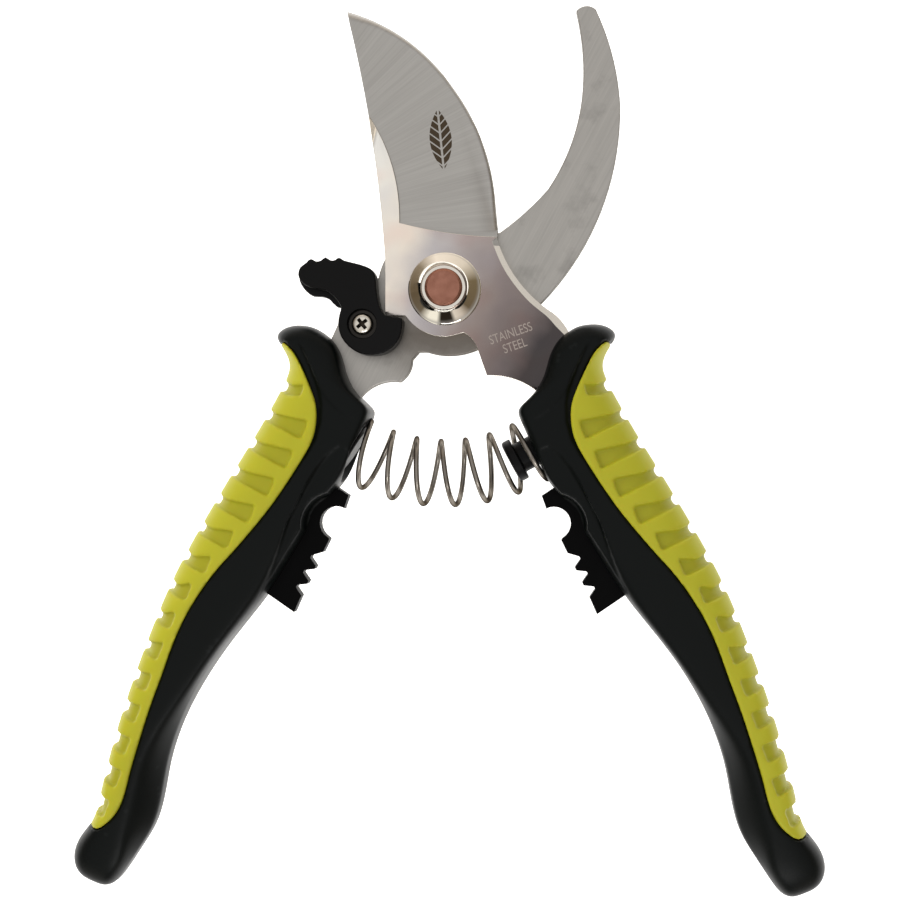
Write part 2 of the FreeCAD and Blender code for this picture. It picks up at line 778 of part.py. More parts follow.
def make_spring():
    """A coil on an arc about the pivot: half circles that lean by half a turn's advance."""
    _, _, right_end = wall_place(RIGHT)
    _, _, left_end = wall_place(LEFT, "pocket_depth")
    arc = value("spring_arc")
    ring = value("coil_radius")
    seat = math.degrees(value("wire_radius + spring_gap") / arc)
    half_turns = round(2 * value("spring_turns"))
    first = right_end - seat - 1.2
    step = (first + left_end - seat) / half_turns
    height = value(HOOK_FRONT)

    def place(index):
        angle = math.radians(first - step * index)
        reach = arc + (ring if index % 2 == 0 else -ring)
        return FreeCAD.Vector(reach * math.sin(angle), -reach * math.cos(angle), height)

    arcs = []
    for index in range(half_turns):
        start = place(index)
        end = place(index + 1)
        middle = (start + end) * 0.5
        middle.z += (1 if index % 2 == 0 else -1) * (end - start).Length / 2
        arcs.append(Part.Arc(start, middle, end).toShape())
    path = doc.addObject("Part::Feature", "spring_path")
    path.Shape = Part.Wire(arcs)
    section = doc.addObject("Part::Circle", "spring_wire")
    bind(section, Radius="wire_radius")
    section.Placement = FreeCAD.Placement(place(0), FreeCAD.Rotation())
    spring = doc.addObject("Part::Sweep", "return_spring")
    spring.Sections = [section]
    spring.Spine = (path, [f"Edge{index}" for index in range(1, half_turns + 1)])
    spring.Solid = True
    spring.Frenet = False
    doc.recompute()
    return spring


def make_handle(side, word, tang, seat_cutters, teeth):
    form = handle_form(side, word + "_handle_form")
    comb = make_comb(side, word + "_comb", form, teeth)
    soft = boolean("Common", word + "_grip_block", form, grip_zone(side, word + "_grip_zone"))
    grip = boolean("Cut", word + "_grip", soft, grip_bed(side, word + "_grip_bed"))
    shell = form
    cutters = {"grip": grip, "comb": comb, "tang": tang, **seat_cutters}
    for number, (what, tool) in enumerate(cutters.items(), start=1):
        last = number == len(cutters)
        name = word + "_handle_shell" if last else f"{word}_shell_less_{what}"
        shell = boolean("Cut", name, shell, tool)
    return [shell, grip, comb]


cutting_blade = make_cutting_blade()
counter_blade = make_counter_blade()
right_stud = make_right_stud()
left_stud = make_left_stud()
nodes = [cutting_blade, counter_blade, right_stud, left_stud, make_spring()]
nodes += make_pivot()
nodes += make_lock()
nodes += make_handle(RIGHT, "right", cutting_blade, {"stud": right_stud}, teeth=3)
nodes += make_handle(LEFT, "left", counter_blade, {"stud": left_stud, "pocket": make_spring_pocket()}, teeth=4)

doc.recompute()
for thing in doc.Objects:
    if "Invalid" in thing.State or "Error" in thing.State:
        raise RuntimeError(f"{thing.Name} failed: {thing.State}")
os.makedirs("parts", exist_ok=True)
for node in nodes:
    node.Label = node.Name
    if node.Shape.isNull() or not node.Shape.isValid():
        raise RuntimeError(f"{node.Name} has no valid shape")
    solids = len(node.Shape.Solids)
    print(f"{node.Name}: {solids} solid, {node.Shape.Volume:.1f} mm3")
    node.Shape.exportStep(f"parts/{node.Name}.step")
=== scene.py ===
import math

import bpy
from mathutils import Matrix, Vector
from mathutils.bvhtree import BVHTree
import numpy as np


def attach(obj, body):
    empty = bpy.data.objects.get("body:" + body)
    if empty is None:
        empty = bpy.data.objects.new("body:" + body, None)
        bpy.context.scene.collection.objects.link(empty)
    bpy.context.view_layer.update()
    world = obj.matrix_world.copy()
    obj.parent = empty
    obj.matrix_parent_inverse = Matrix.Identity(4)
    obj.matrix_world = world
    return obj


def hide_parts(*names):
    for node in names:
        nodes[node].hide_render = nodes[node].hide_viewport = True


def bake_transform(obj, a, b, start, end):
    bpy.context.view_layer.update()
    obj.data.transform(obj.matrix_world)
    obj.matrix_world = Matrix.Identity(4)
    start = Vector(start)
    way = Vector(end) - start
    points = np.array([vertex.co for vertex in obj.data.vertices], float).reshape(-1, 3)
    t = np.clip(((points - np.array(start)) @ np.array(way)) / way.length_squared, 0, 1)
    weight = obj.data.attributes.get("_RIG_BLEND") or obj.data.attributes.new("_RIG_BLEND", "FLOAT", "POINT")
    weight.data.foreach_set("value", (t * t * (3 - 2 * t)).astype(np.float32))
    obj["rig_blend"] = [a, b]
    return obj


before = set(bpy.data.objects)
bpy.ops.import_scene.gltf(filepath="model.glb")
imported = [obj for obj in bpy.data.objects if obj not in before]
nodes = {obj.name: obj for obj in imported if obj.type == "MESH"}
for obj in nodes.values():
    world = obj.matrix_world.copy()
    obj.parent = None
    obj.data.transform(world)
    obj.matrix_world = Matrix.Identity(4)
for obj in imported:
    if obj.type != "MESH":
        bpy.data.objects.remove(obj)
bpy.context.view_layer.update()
mm = 0.001
midHeight = 6.6  # height of both handles' middle plane
handleTurn = 30  # each handle's line leaves the pivot at this angle from -Y
print("frame loaded")


# shop tools
def pickOnly(*pieces):
    bpy.ops.object.select_all(action="DESELECT")
    for piece in pieces:
        piece.select_set(True)
    bpy.context.view_layer.objects.active = pieces[0]


def startEdit(piece, choose=None):
    # opens a piece in edit mode with the chosen vertices selected, or everything
    pickOnly(piece)
    bpy.ops.object.mode_set(mode="EDIT")
    bpy.ops.mesh.select_mode(type="VERT")
    bpy.ops.mesh.select_all(action="SELECT" if choose is None else "DESELECT")
    if choose is not None:
        bpy.ops.object.mode_set(mode="OBJECT")
        for vertex in piece.data.vertices:
            vertex.select = bool(choose(vertex))
        bpy.ops.object.mode_set(mode="EDIT")


def endEdit():
    bpy.ops.object.mode_set(mode="OBJECT")


def turnOutward():
    # ends edit mode with every face of the closed piece facing out
    bpy.ops.mesh.select_all(action="SELECT")
    bpy.ops.mesh.normals_make_consistent(inside=False)
    endEdit()


def settle(piece):
    # puts a piece's place, turn and size into its mesh
    pickOnly(piece)
    bpy.ops.object.transform_apply(location=True, rotation=True, scale=True)


def finishModifier(piece, kind, **values):
    made = piece.modifiers.new(kind.lower(), kind)
    for key, value in values.items():
        setattr(made, key, value)
    pickOnly(piece)
    bpy.ops.object.modifier_apply(modifier=made.name)


def smoothShade(piece, degrees=40):
    pickOnly(piece)
    bpy.ops.object.shade_smooth_by_angle(angle=math.radians(degrees))


def drawLine(name, points):
    # a chain of vertices pulled out one after the other
    bpy.ops.object.select_all(action="DESELECT")
    bpy.ops.mesh.primitive_plane_add(size=mm)
    piece = bpy.context.object
    piece.name = piece.data.name = name
    bpy.ops.object.mode_set(mode="EDIT")
    bpy.ops.mesh.select_all(action="SELECT")
    bpy.ops.mesh.merge(type="CENTER")
    bpy.ops.transform.translate(value=Vector(points[0]) * mm)
    for before, after in zip(points, points[1:]):
        step = (Vector(after) - Vector(before)) * mm
        bpy.ops.mesh.extrude_region_move(TRANSFORM_OT_translate={"value": step})
    return piece


def drawPlate(name, corners, low, high):
    # an outline filled and pulled up into a plate between two heights
    piece = drawLine(name, [(x, y, low) for x, y in corners])
    bpy.ops.mesh.select_all(action="SELECT")
    bpy.ops.mesh.edge_face_add()
    bpy.ops.mesh.extrude_region_move(TRANSFORM_OT_translate={"value": (0, 0, (high - low) * mm)})
    turnOutward()
    return piece


def addCylinder(radius, height, place, vertices=64):
    bpy.ops.object.select_all(action="DESELECT")
    bpy.ops.mesh.primitive_cylinder_add(vertices=vertices, radius=radius * mm, depth=height * mm,
                                        location=[value * mm for value in place])
    return bpy.context.object


def rounded(points, steps=4, closed=False):
    # an even curve through the points
    count = len(points)
    last = count if closed else count - 1
    line = []
    for index in range(last):
        if closed:
            a, b, c, d = (Vector(points[(index + k) % count]) for k in (-1, 0, 1, 2))
        else:
            a, b, c, d = (Vector(points[min(max(index + k, 0), count - 1)]) for k in (-1, 0, 1, 2))
        for step in range(steps):
            t = step / steps
            bend = (2 * b + (c - a) * t + (2 * a - 5 * b + 4 * c - d) * t**2
                    + (3 * b - a - 3 * c + d) * t**3) / 2
            line.append(tuple(bend))
    if not closed:
        line.append(tuple(points[-1]))
    return line


def carve(piece, tool, operation="DIFFERENCE"):
    finishModifier(piece, "BOOLEAN", operation=operation, object=tool, solver="EXACT")
    bpy.data.objects.remove(tool)


def joinAll(first, *others):
    pickOnly(first, *others)
    bpy.ops.object.join()
    return first


def ownCopy(piece, name):
    made = bpy.data.objects.new(name, piece.data.copy())
    made.data.name = name
    bpy.context.scene.collection.objects.link(made)
    return made


def mirrored(piece, name):
    # the same moulding for the other hand, turned right side out again
    made = ownCopy(piece, name)
    made.scale = (-1, 1, 1)
    settle(made)
    startEdit(made)
    turnOutward()
    return made


def eased(name, node, width, segments=2, angle=35):
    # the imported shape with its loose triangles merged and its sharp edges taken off
    made = ownCopy(nodes[node], name)
    made.data.materials.clear()
    startEdit(made)
    bpy.ops.mesh.remove_doubles(threshold=0.002 * mm)
    bpy.ops.mesh.dissolve_limited(angle_limit=math.radians(1))
    endEdit()
    finishModifier(made, "BEVEL", width=width * mm, segments=segments, limit_method="ANGLE",
                   angle_limit=math.radians(angle), use_clamp_overlap=True, harden_normals=False)
    smoothShade(made, 40)
    finishModifier(made, "WEIGHTED_NORMAL", keep_sharp=True, weight=80)
    return made


# shader groups
def addNode(tree, kind, place=(0, 0), **values):
    node = tree.nodes.new(kind)
    node.location = place
    for key, value in values.items():
        setattr(node, key, value)
    return node


def newGroup(name, inputs, outputs):
    group = bpy.data.node_groups.new(name, "ShaderNodeTree")
    for label, kind, value in inputs:
        socket = group.interface.new_socket(label, in_out="INPUT", socket_type=kind)
        if value is not None:
            socket.default_value = value
    for label, kind in outputs:
        group.interface.new_socket(label, in_out="OUTPUT", socket_type=kind)
    start = addNode(group, "NodeGroupInput", (-900, 0))
    end = addNode(group, "NodeGroupOutput", (900, 0))
    return group, start, end


def mathNode(tree, operation, a, b=None, clamp=False):
    node = addNode(tree, "ShaderNodeMath", operation=operation, use_clamp=clamp)
    for socket, value in zip(node.inputs, (a, b)):
        if value is None:
            continue
        if isinstance(value, (int, float)):
            socket.default_value = value
        else:
            tree.links.new(value, socket)
    return node.outputs[0]


def lengthNode(tree, x, y):
    # the distance from the origin in the plane
    square = mathNode(tree, "ADD", mathNode(tree, "MULTIPLY", x, x), mathNode(tree, "MULTIPLY", y, y))
    return mathNode(tree, "SQRT", square)


def rampNode(tree, source, stops):
    node = addNode(tree, "ShaderNodeValToRGB")
    ramp = node.color_ramp
    ramp.elements[0].position, ramp.elements[0].color = stops[0][0], (*stops[0][1], 1)
    ramp.elements[1].position, ramp.elements[1].color = stops[-1][0], (*stops[-1][1], 1)
    for position, colour in stops[1:-1]:
        ramp.elements.new(position).color = (*colour, 1)
    tree.links.new(source, node.inputs[0])
    return node.outputs[0]


def mixColour(tree, factor, a, b, blend="MIX"):
    node = addNode(tree, "ShaderNodeMix", data_type="RGBA", blend_type=blend)
    for socket, value in ((node.inputs[0], factor), (node.inputs[6], a), (node.inputs[7], b)):
        if isinstance(value, (int, float)):
            socket.default_value = value
        elif isinstance(value, tuple):
            socket.default_value = (*value, 1)
        else:
            tree.links.new(value, socket)
    return node.outputs[2]


def noiseAt(tree, vector, scale, detail=3, rough=0.5):
    node = addNode(tree, "ShaderNodeTexNoise")
    node.inputs["Scale"].default_value = scale
    node.inputs["Detail"].default_value = detail
    node.inputs["Roughness"].default_value = rough
    tree.links.new(vector, node.inputs["Vector"])
    return node.outputs["Fac"]


def makeGrain():
    # fine moulded skin: a stipple with slow patches on top
    group, start, end = newGroup(
        "mouldGrain", [("Vector", "NodeSocketVector", None)],
        [("Height", "NodeSocketFloat"), ("Patch", "NodeSocketFloat")])
    fine = noiseAt(group, start.outputs[0], 4200, 2, 0.6)
    middle = noiseAt(group, start.outputs[0], 1300, 3, 0.6)
    height = mathNode(group, "ADD", mathNode(group, "MULTIPLY", fine, 0.6),
                      mathNode(group, "MULTIPLY", middle, 0.4))
    group.links.new(height, end.inputs[0])
    group.links.new(noiseAt(group, start.outputs[0], 60, 4, 0.6), end.inputs[1])
    return group


def makeStreaks():
    # brush marks that run one way: the vector is stretched before the noise is read
    group, start, end = newGroup(
        "brushMarks", [("Vector", "NodeSocketVector", None), ("Length", "NodeSocketFloat", 20),
                       ("Width", "NodeSocketFloat", 2500)],
        [("Fine", "NodeSocketFloat"), ("Broad", "NodeSocketFloat")])
    split = addNode(group, "ShaderNodeSeparateXYZ")
    group.links.new(start.outputs[0], split.inputs[0])
    for slot, share in ((0, 1), (1, 0.16)):
        join = addNode(group, "ShaderNodeCombineXYZ")
        along = mathNode(group, "MULTIPLY", split.outputs[0], start.outputs[1])
        across = mathNode(group, "MULTIPLY", split.outputs[1],
                          mathNode(group, "MULTIPLY", start.outputs[2], share))
        group.links.new(along, join.inputs[0])
        group.links.new(across, join.inputs[1])
        group.links.new(noiseAt(group, join.outputs[0], 1, 3, 0.65), end.inputs[slot])
    return group


def makeEdgeWearAndSheen():
    # rubbed edges with a painted highlight: where the surface turns outward sharply
    group, start, end = newGroup(
        "edgeRubAndSheen", [("Amount", "NodeSocketFloat", 1), ("Vector", "NodeSocketVector", None)],
        [("Mask", "NodeSocketFloat")])
    shape = addNode(group, "ShaderNodeNewGeometry")
    outward = mathNode(group, "SUBTRACT", shape.outputs["Pointiness"], 0.52)
    sharp = mathNode(group, "MULTIPLY", outward, 9, True)
    broken = mathNode(group, "MULTIPLY", noiseAt(group, start.outputs[1], 900, 3), start.outputs[0])
    group.links.new(mathNode(group, "MULTIPLY", sharp, broken, True), end.inputs[0])
    return group


mouldGrain, brushMarks, edgeRubAndSheen = makeGrain(), makeStreaks(), makeEdgeWearAndSheen()


def newMaterial(name, metallic=0.0, roughness=0.5, **sockets):
    material = bpy.data.materials.new(name)
    material.use_nodes = True
    tree = material.node_tree
    tree.nodes.clear()
    out = addNode(tree, "ShaderNodeOutputMaterial", (900, 0))
    shader = addNode(tree, "ShaderNodeBsdfPrincipled", (600, 0))
    shader.inputs["Metallic"].default_value = metallic
    shader.inputs["Roughness"].default_value = roughness
    for key, value in sockets.items():
        shader.inputs[key.replace("_", " ")].default_value = value
    tree.links.new(shader.outputs[0], out.inputs[0])
    place = addNode(tree, "ShaderNodeTexCoord", (-900, 0)).outputs["Object"]
    return material, tree, shader, place


def placeGroup(tree, group, **inputs):
    node = addNode(tree, "ShaderNodeGroup", node_tree=group)
    for key, value in inputs.items():
        if isinstance(value, (int, float)):
            node.inputs[key].default_value = value
        else:
            tree.links.new(value, node.inputs[key])
    return node


def bumpFrom(tree, shader, height, strength, distance):
    bump = addNode(tree, "ShaderNodeBump")
    bump.inputs["Strength"].default_value = strength
    bump.inputs["Distance"].default_value = distance
    tree.links.new(height, bump.inputs["Height"])
    tree.links.new(bump.outputs[0], shader.inputs["Normal"])


def mouldedMaterial(name, deep, pale, roughness, bump, rubAndSheen=0.0, rubAndSheenColour=(0.1, 0.1, 0.1), paintedFloorShade=None,
                    **sockets):
    # moulded plastic or rubber: two close shades in patches, a fine skin, rubbed edges with a painted
    # highlight, painted shade on hollow floors
    material, tree, shader, place = newMaterial(name, 0.0, roughness, **sockets)
    grain = placeGroup(tree, mouldGrain, Vector=place)
    colour = mixColour(tree, grain.outputs["Patch"], deep, pale)
    # lighter edges: rubbing and a painted highlight along ridges
    if rubAndSheen:
        wearAndSheen = placeGroup(tree, edgeRubAndSheen, Amount=rubAndSheen, Vector=place)
        colour = mixColour(tree, wearAndSheen.outputs[0], colour, rubAndSheenColour)
    # painted shade on the floors of hollows, mixed in by the hollow attribute
    if paintedFloorShade:
        hollow = addNode(tree, "ShaderNodeAttribute", attribute_name="hollow")
        colour = mixColour(tree, hollow.outputs["Fac"], colour, paintedFloorShade)
    tree.links.new(colour, shader.inputs["Base Color"])
    spread = mathNode(tree, "ADD", mathNode(tree, "MULTIPLY", grain.outputs["Patch"], 0.16), roughness - 0.08)
    tree.links.new(spread, shader.inputs["Roughness"])
    bumpFrom(tree, shader, grain.outputs["Height"], bump, 0.00004)
    return material


def turnedVector(tree, place, centre=(0, 0, 0), degrees=0):
    mapping = addNode(tree, "ShaderNodeMapping", vector_type="TEXTURE")
    mapping.inputs["Location"].default_value = [value * mm for value in centre]
    mapping.inputs["Rotation"].default_value = (0, 0, math.radians(degrees))
    tree.links.new(place, mapping.inputs["Vector"])
    return mapping.outputs[0]


def fanVector(tree, place, centre):
    # radius and angle about a point, for brush marks that fan out from it
    split = addNode(tree, "ShaderNodeSeparateXYZ")
    tree.links.new(turnedVector(tree, place, centre), split.inputs[0])
    x, y = split.outputs[0], split.outputs[1]
    angle = mathNode(tree, "ARCTAN2", y, x)
    radius = lengthNode(tree, x, y)
    join = addNode(tree, "ShaderNodeCombineXYZ")
    tree.links.new(radius, join.inputs[0])
    tree.links.new(mathNode(tree, "MULTIPLY", angle, 0.06), join.inputs[1])
    return join.outputs[0]


def bladeMaterial():
    look = {
        "frontFace": 9.65,  # height of the polished face
        "fanCentre": (-48, 10, 0),
        "ground": ((0.41, 0.395, 0.372), (0.505, 0.49, 0.462)),
        "bevel": (0.92, 0.86, 0.76),
        "halfSpan": 28,  # the polished shades run this far to each side of the pivot
        "drift": 14,  # and wander by this much
        # a painted reflection, from the blade's end of the polished face, bright, to the handle's end, dark
        "polished": [
            (0.02, (0.98, 0.95, 0.88)), (0.255, (0.95, 0.86, 0.75)), (0.40, (0.60, 0.56, 0.55)),
            (0.66, (0.34, 0.28, 0.26)), (0.87, (0.20, 0.165, 0.16)), (0.99, (0.08, 0.07, 0.07)),
        ],
        "mark": (0.10, 0.075, 0.05),
        "markPlace": (-1.0, 31.5, 0),
        "markTurn": 96,
        "markHalfLength": 6.5,
        "markHalfWidth": 2.3,
        "markRib": 0.22,
        "markVeins": 3600,
    }
    material, tree, shader, place = newMaterial("groundSteel", 1.0, 0.3)
    split = addNode(tree, "ShaderNodeSeparateXYZ")
    tree.links.new(place, split.inputs[0])
    depth = mathNode(tree, "SUBTRACT", look["frontFace"] * mm, split.outputs[2])
    isGround = mathNode(tree, "MULTIPLY", mathNode(tree, "GREATER_THAN", depth, 0.025 * mm),
                        mathNode(tree, "LESS_THAN", depth, 2.9 * mm))
    above = mathNode(tree, "GREATER_THAN", split.outputs[1], 9 * mm)
    isGround = mathNode(tree, "MULTIPLY", isGround, above)
    marks = placeGroup(tree, brushMarks, Vector=fanVector(tree, place, look["fanCentre"]),
                       Length=30, Width=3200)
    cloud = noiseAt(tree, place, 70, 3, 0.55)
    blendMarks = mathNode(tree, "ADD", mathNode(tree, "MULTIPLY", marks.outputs["Fine"], 0.5),
                          mathNode(tree, "MULTIPLY", marks.outputs["Broad"], 0.5))
    ground = rampNode(tree, blendMarks, [(0.35, look["ground"][0]), (0.65, look["ground"][1])])
    # the painted reflection across the polished face: bright at the blade's end, dark at the handle's end
    lean = mathNode(tree, "SUBTRACT", split.outputs[0], mathNode(tree, "MULTIPLY", split.outputs[1], 0.5))
    drift = mathNode(tree, "MULTIPLY", mathNode(tree, "SUBTRACT", cloud, 0.5), look["drift"] * mm)
    lean = mathNode(tree, "ADD", mathNode(tree, "ADD", lean, drift), look["halfSpan"] * mm)
    lean = mathNode(tree, "DIVIDE", lean, 2 * look["halfSpan"] * mm)
    polished = rampNode(tree, lean, look["polished"])
    tint = rampNode(tree, noiseAt(tree, place, 110, 1, 0.4),
                    [(0.32, (0.82, 0.84, 0.92)), (0.5, (1.0, 1.0, 1.0)), (0.68, (1.0, 0.80, 0.76))])
    polished = mixColour(tree, 0.45, polished, tint, "MULTIPLY")
    isFlat = mathNode(tree, "LESS_THAN", depth, 0.012 * mm)
    polished = mixColour(tree, isFlat, look["bevel"], polished)
    colour = mixColour(tree, isGround, polished, ground)

    # a small leaf etched where a maker would put a mark
    leaf = addNode(tree, "ShaderNodeSeparateXYZ")
    tree.links.new(turnedVector(tree, place, look["markPlace"], look["markTurn"]), leaf.inputs[0])
    along = mathNode(tree, "DIVIDE", leaf.outputs[0], look["markHalfLength"] * mm)
    side = mathNode(tree, "ABSOLUTE", leaf.outputs[1])
    taper = mathNode(tree, "SUBTRACT", 1, mathNode(tree, "MULTIPLY", along, along))
    half = mathNode(tree, "MULTIPLY", taper, look["markHalfWidth"] * mm)
    inside = mathNode(tree, "GREATER_THAN", half, side)
    rib = mathNode(tree, "GREATER_THAN", side, look["markRib"] * mm)
    slant = mathNode(tree, "SUBTRACT", leaf.outputs[0], mathNode(tree, "MULTIPLY", side, 0.9))
    wave = mathNode(tree, "SINE", mathNode(tree, "MULTIPLY", slant, look["markVeins"]))
    vein = mathNode(tree, "GREATER_THAN", wave, -0.8)
    etched = mathNode(tree, "MULTIPLY", mathNode(tree, "MULTIPLY", inside, rib), vein)
    onFace = mathNode(tree, "MULTIPLY", etched, mathNode(tree, "GREATER_THAN", split.outputs[2], 7.5 * mm))
    colour = mixColour(tree, onFace, colour, look["mark"])
    tree.links.new(colour, shader.inputs["Base Color"])

    rough = mathNode(tree, "ADD", mathNode(tree, "MULTIPLY", isGround, 0.16),
                     mathNode(tree, "ADD", mathNode(tree, "MULTIPLY", marks.outputs["Broad"], 0.1), 0.14))
    rough = mathNode(tree, "ADD", rough, mathNode(tree, "MULTIPLY", onFace, 0.3))
    tree.links.new(rough, shader.inputs["Roughness"])
    bumpFrom(tree, shader, mathNode(tree, "MULTIPLY", blendMarks, isGround), 0.25, 0.00002)
    return material


def brushedMaterial(name, dark, light, degrees, roughness, width=2600, stains=0.0, bump=0.2, pivotShadow=None):
    material, tree, shader, place = newMaterial(name, 1.0, roughness)
    marks = placeGroup(tree, brushMarks, Vector=turnedVector(tree, place, (0, 0, 0), degrees),
                       Length=40, Width=width)
    blendMarks = mathNode(tree, "ADD", mathNode(tree, "MULTIPLY", marks.outputs["Fine"], 0.5),
                          mathNode(tree, "MULTIPLY", marks.outputs["Broad"], 0.5))
    colour = rampNode(tree, blendMarks, [(0.32, dark), (0.68, light)])
    if stains:
        patch = rampNode(tree, noiseAt(tree, place, 130, 5, 0.6), [(0.55, (0, 0, 0)), (0.72, (1, 1, 1))])
        amount = mathNode(tree, "MULTIPLY", patch, stains)
        colour = mixColour(tree, amount, colour, tuple(value * 0.55 for value in dark))
    if pivotShadow:
        # a painted shadow round the pivot, on the handle's side
        near, far, shade = pivotShadow
        split = addNode(tree, "ShaderNodeSeparateXYZ")
        tree.links.new(place, split.inputs[0])
        x, y = split.outputs[0], split.outputs[1]
        ragged = mathNode(tree, "MULTIPLY", noiseAt(tree, place, 240, 4, 0.6), 4 * mm)
        radius = mathNode(tree, "ADD", lengthNode(tree, x, y), ragged)
        inward = mathNode(tree, "SUBTRACT", far * mm, radius)
        reach = mathNode(tree, "DIVIDE", inward, (far - near) * mm, True)
        below = mathNode(tree, "MULTIPLY", reach, mathNode(tree, "DIVIDE", y, -9 * mm, True))
        colour = mixColour(tree, mathNode(tree, "MULTIPLY", below, 0.9), colour, shade)
    tree.links.new(colour, shader.inputs["Base Color"])
    spread = mathNode(tree, "ADD", mathNode(tree, "MULTIPLY", marks.outputs["Broad"], 0.12), roughness - 0.06)
    tree.links.new(spread, shader.inputs["Roughness"])
    bumpFrom(tree, shader, blendMarks, bump, 0.00002)
    return material


def brightMaterial(name, dark, light, roughness, pits=0.1):
    # plated or bare bright metal with faint handling marks
    material, tree, shader, place = newMaterial(name, 1.0, roughness)
    patch = noiseAt(tree, place, 420, 4, 0.6)
    tree.links.new(mixColour(tree, patch, dark, light), shader.inputs["Base Color"])
    spread = mathNode(tree, "ADD", mathNode(tree, "MULTIPLY", patch, 0.1), roughness - 0.05)
    tree.links.new(spread, shader.inputs["Roughness"])
    bumpFrom(tree, shader, noiseAt(tree, place, 1800, 3, 0.6), pits, 0.00003)
    return material


def screwMaterial():
    # plated steel, with painted shade down in the cross
    look = {"axis": (-17.1, -7.3), "reach": 1.65, "shadeBelow": 11.56}
    material, tree, shader, place = newMaterial("screwPlate", 1.0, 0.24)
    patch = noiseAt(tree, place, 700, 4, 0.6)
    plated = mixColour(tree, patch, (0.62, 0.57, 0.48), (0.90, 0.86, 0.78))
    split = addNode(tree, "ShaderNodeSeparateXYZ")
    tree.links.new(turnedVector(tree, place, (*look["axis"], 0)), split.inputs[0])
    radius = lengthNode(tree, split.outputs[0], split.outputs[1])
    # painted shade in the cross: near the axis and below the head's top
    near = mathNode(tree, "LESS_THAN", radius, look["reach"] * mm)
    deep = mathNode(tree, "LESS_THAN", split.outputs[2], look["shadeBelow"] * mm)
    crossShade = mathNode(tree, "MULTIPLY", near, deep)
    tree.links.new(mixColour(tree, crossShade, plated, (0.055, 0.045, 0.035)), shader.inputs["Base Color"])
    rough = mathNode(tree, "ADD", mathNode(tree, "MULTIPLY", crossShade, 0.35), 0.22)
    tree.links.new(rough, shader.inputs["Roughness"])
    bumpFrom(tree, shader, noiseAt(tree, place, 1800, 3, 0.6), 0.2, 0.00003)
    return material


groundSteel = bladeMaterial()
# the hook steel carries a painted shadow round the pivot, on the handle's side
hookSteel = brushedMaterial("hookSteel", (0.40, 0.385, 0.36), (0.50, 0.48, 0.45), 62, 0.38,
                            stains=0.4, bump=0.1, pivotShadow=(14, 24, (0.16, 0.14, 0.12)))
copper = brightMaterial("rivetCopper", (0.20, 0.075, 0.045), (0.52, 0.25, 0.18), 0.34, 0.7)
chrome = brightMaterial("chromePlate", (0.78, 0.74, 0.66), (0.86, 0.82, 0.75), 0.06, 0.03)
screwMetal = screwMaterial()
etchedSteel = brightMaterial("etchedSteel", (0.42, 0.36, 0.32), (0.52, 0.46, 0.42), 0.5, 0.2)
darkWasher = brightMaterial("blackenedWasher", (0.03, 0.028, 0.026), (0.06, 0.055, 0.05), 0.45, 0.2)
wireSteel = brushedMaterial("springWire", (0.16, 0.14, 0.12), (0.36, 0.33, 0.29), 90, 0.3, 1500)
for steel, edge in ((hookSteel, 0.25), (wireSteel, 0.12)):
    # both look darker where they turn away
    steel.node_tree.nodes["Principled BSDF"].inputs["Specular Tint"].default_value = (edge, edge, edge, 1)
shellBlack = mouldedMaterial("shellPlastic", (0.0016, 0.0024, 0.0022), (0.0028, 0.0040, 0.0037), 0.38, 0.10,
                             0.4, (0.020, 0.023, 0.023), Specular_IOR_Level=0.12)
partBlack = mouldedMaterial("nylonBlack", (0.0020, 0.0020, 0.0021), (0.0040, 0.0039, 0.0040), 0.40, 0.14,
                            0.2, (0.018, 0.018, 0.018), Specular_IOR_Level=0.12)
# the same black nylon made darker: painted shade for the combs, which lie deeper down
combBlack = mouldedMaterial("combBlack", (0.0007, 0.0007, 0.0008), (0.0014, 0.0014, 0.0015), 0.46, 0.14,
                            0.2, (0.010, 0.010, 0.010), Specular_IOR_Level=0.05)
# the grip's window floors get painted shade
limeRubber = mouldedMaterial("limeGrip", (0.40, 0.385, 0.018), (0.46, 0.445, 0.024), 0.50, 0.12,
                             paintedFloorShade=(0.35, 0.335, 0.016), Subsurface_Weight=0.12, Subsurface_Scale=0.002,
                             Specular_IOR_Level=0.25)
print("materials ready")


def dress(piece, material):
    piece.data.materials.clear()
    piece.data.materials.append(material)


def finishPiece(piece, body, material, slot, *stoodFor):
    dress(piece, material)
    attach(piece, body)
    if stoodFor:
        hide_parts(*stoodFor)


# The coil lies on an arc about the pivot. Its turns are a little less fanned out than the arc is.
spring = {
    "arc": 38.3, "coil": 6.7, "wire": 1.1, "turnAngle": 8.95, "firstInner": -28.5,
    "leftEnd": -34.4, "rightEnd": 29.8, "fan": 0.037, "steps": 36,
}


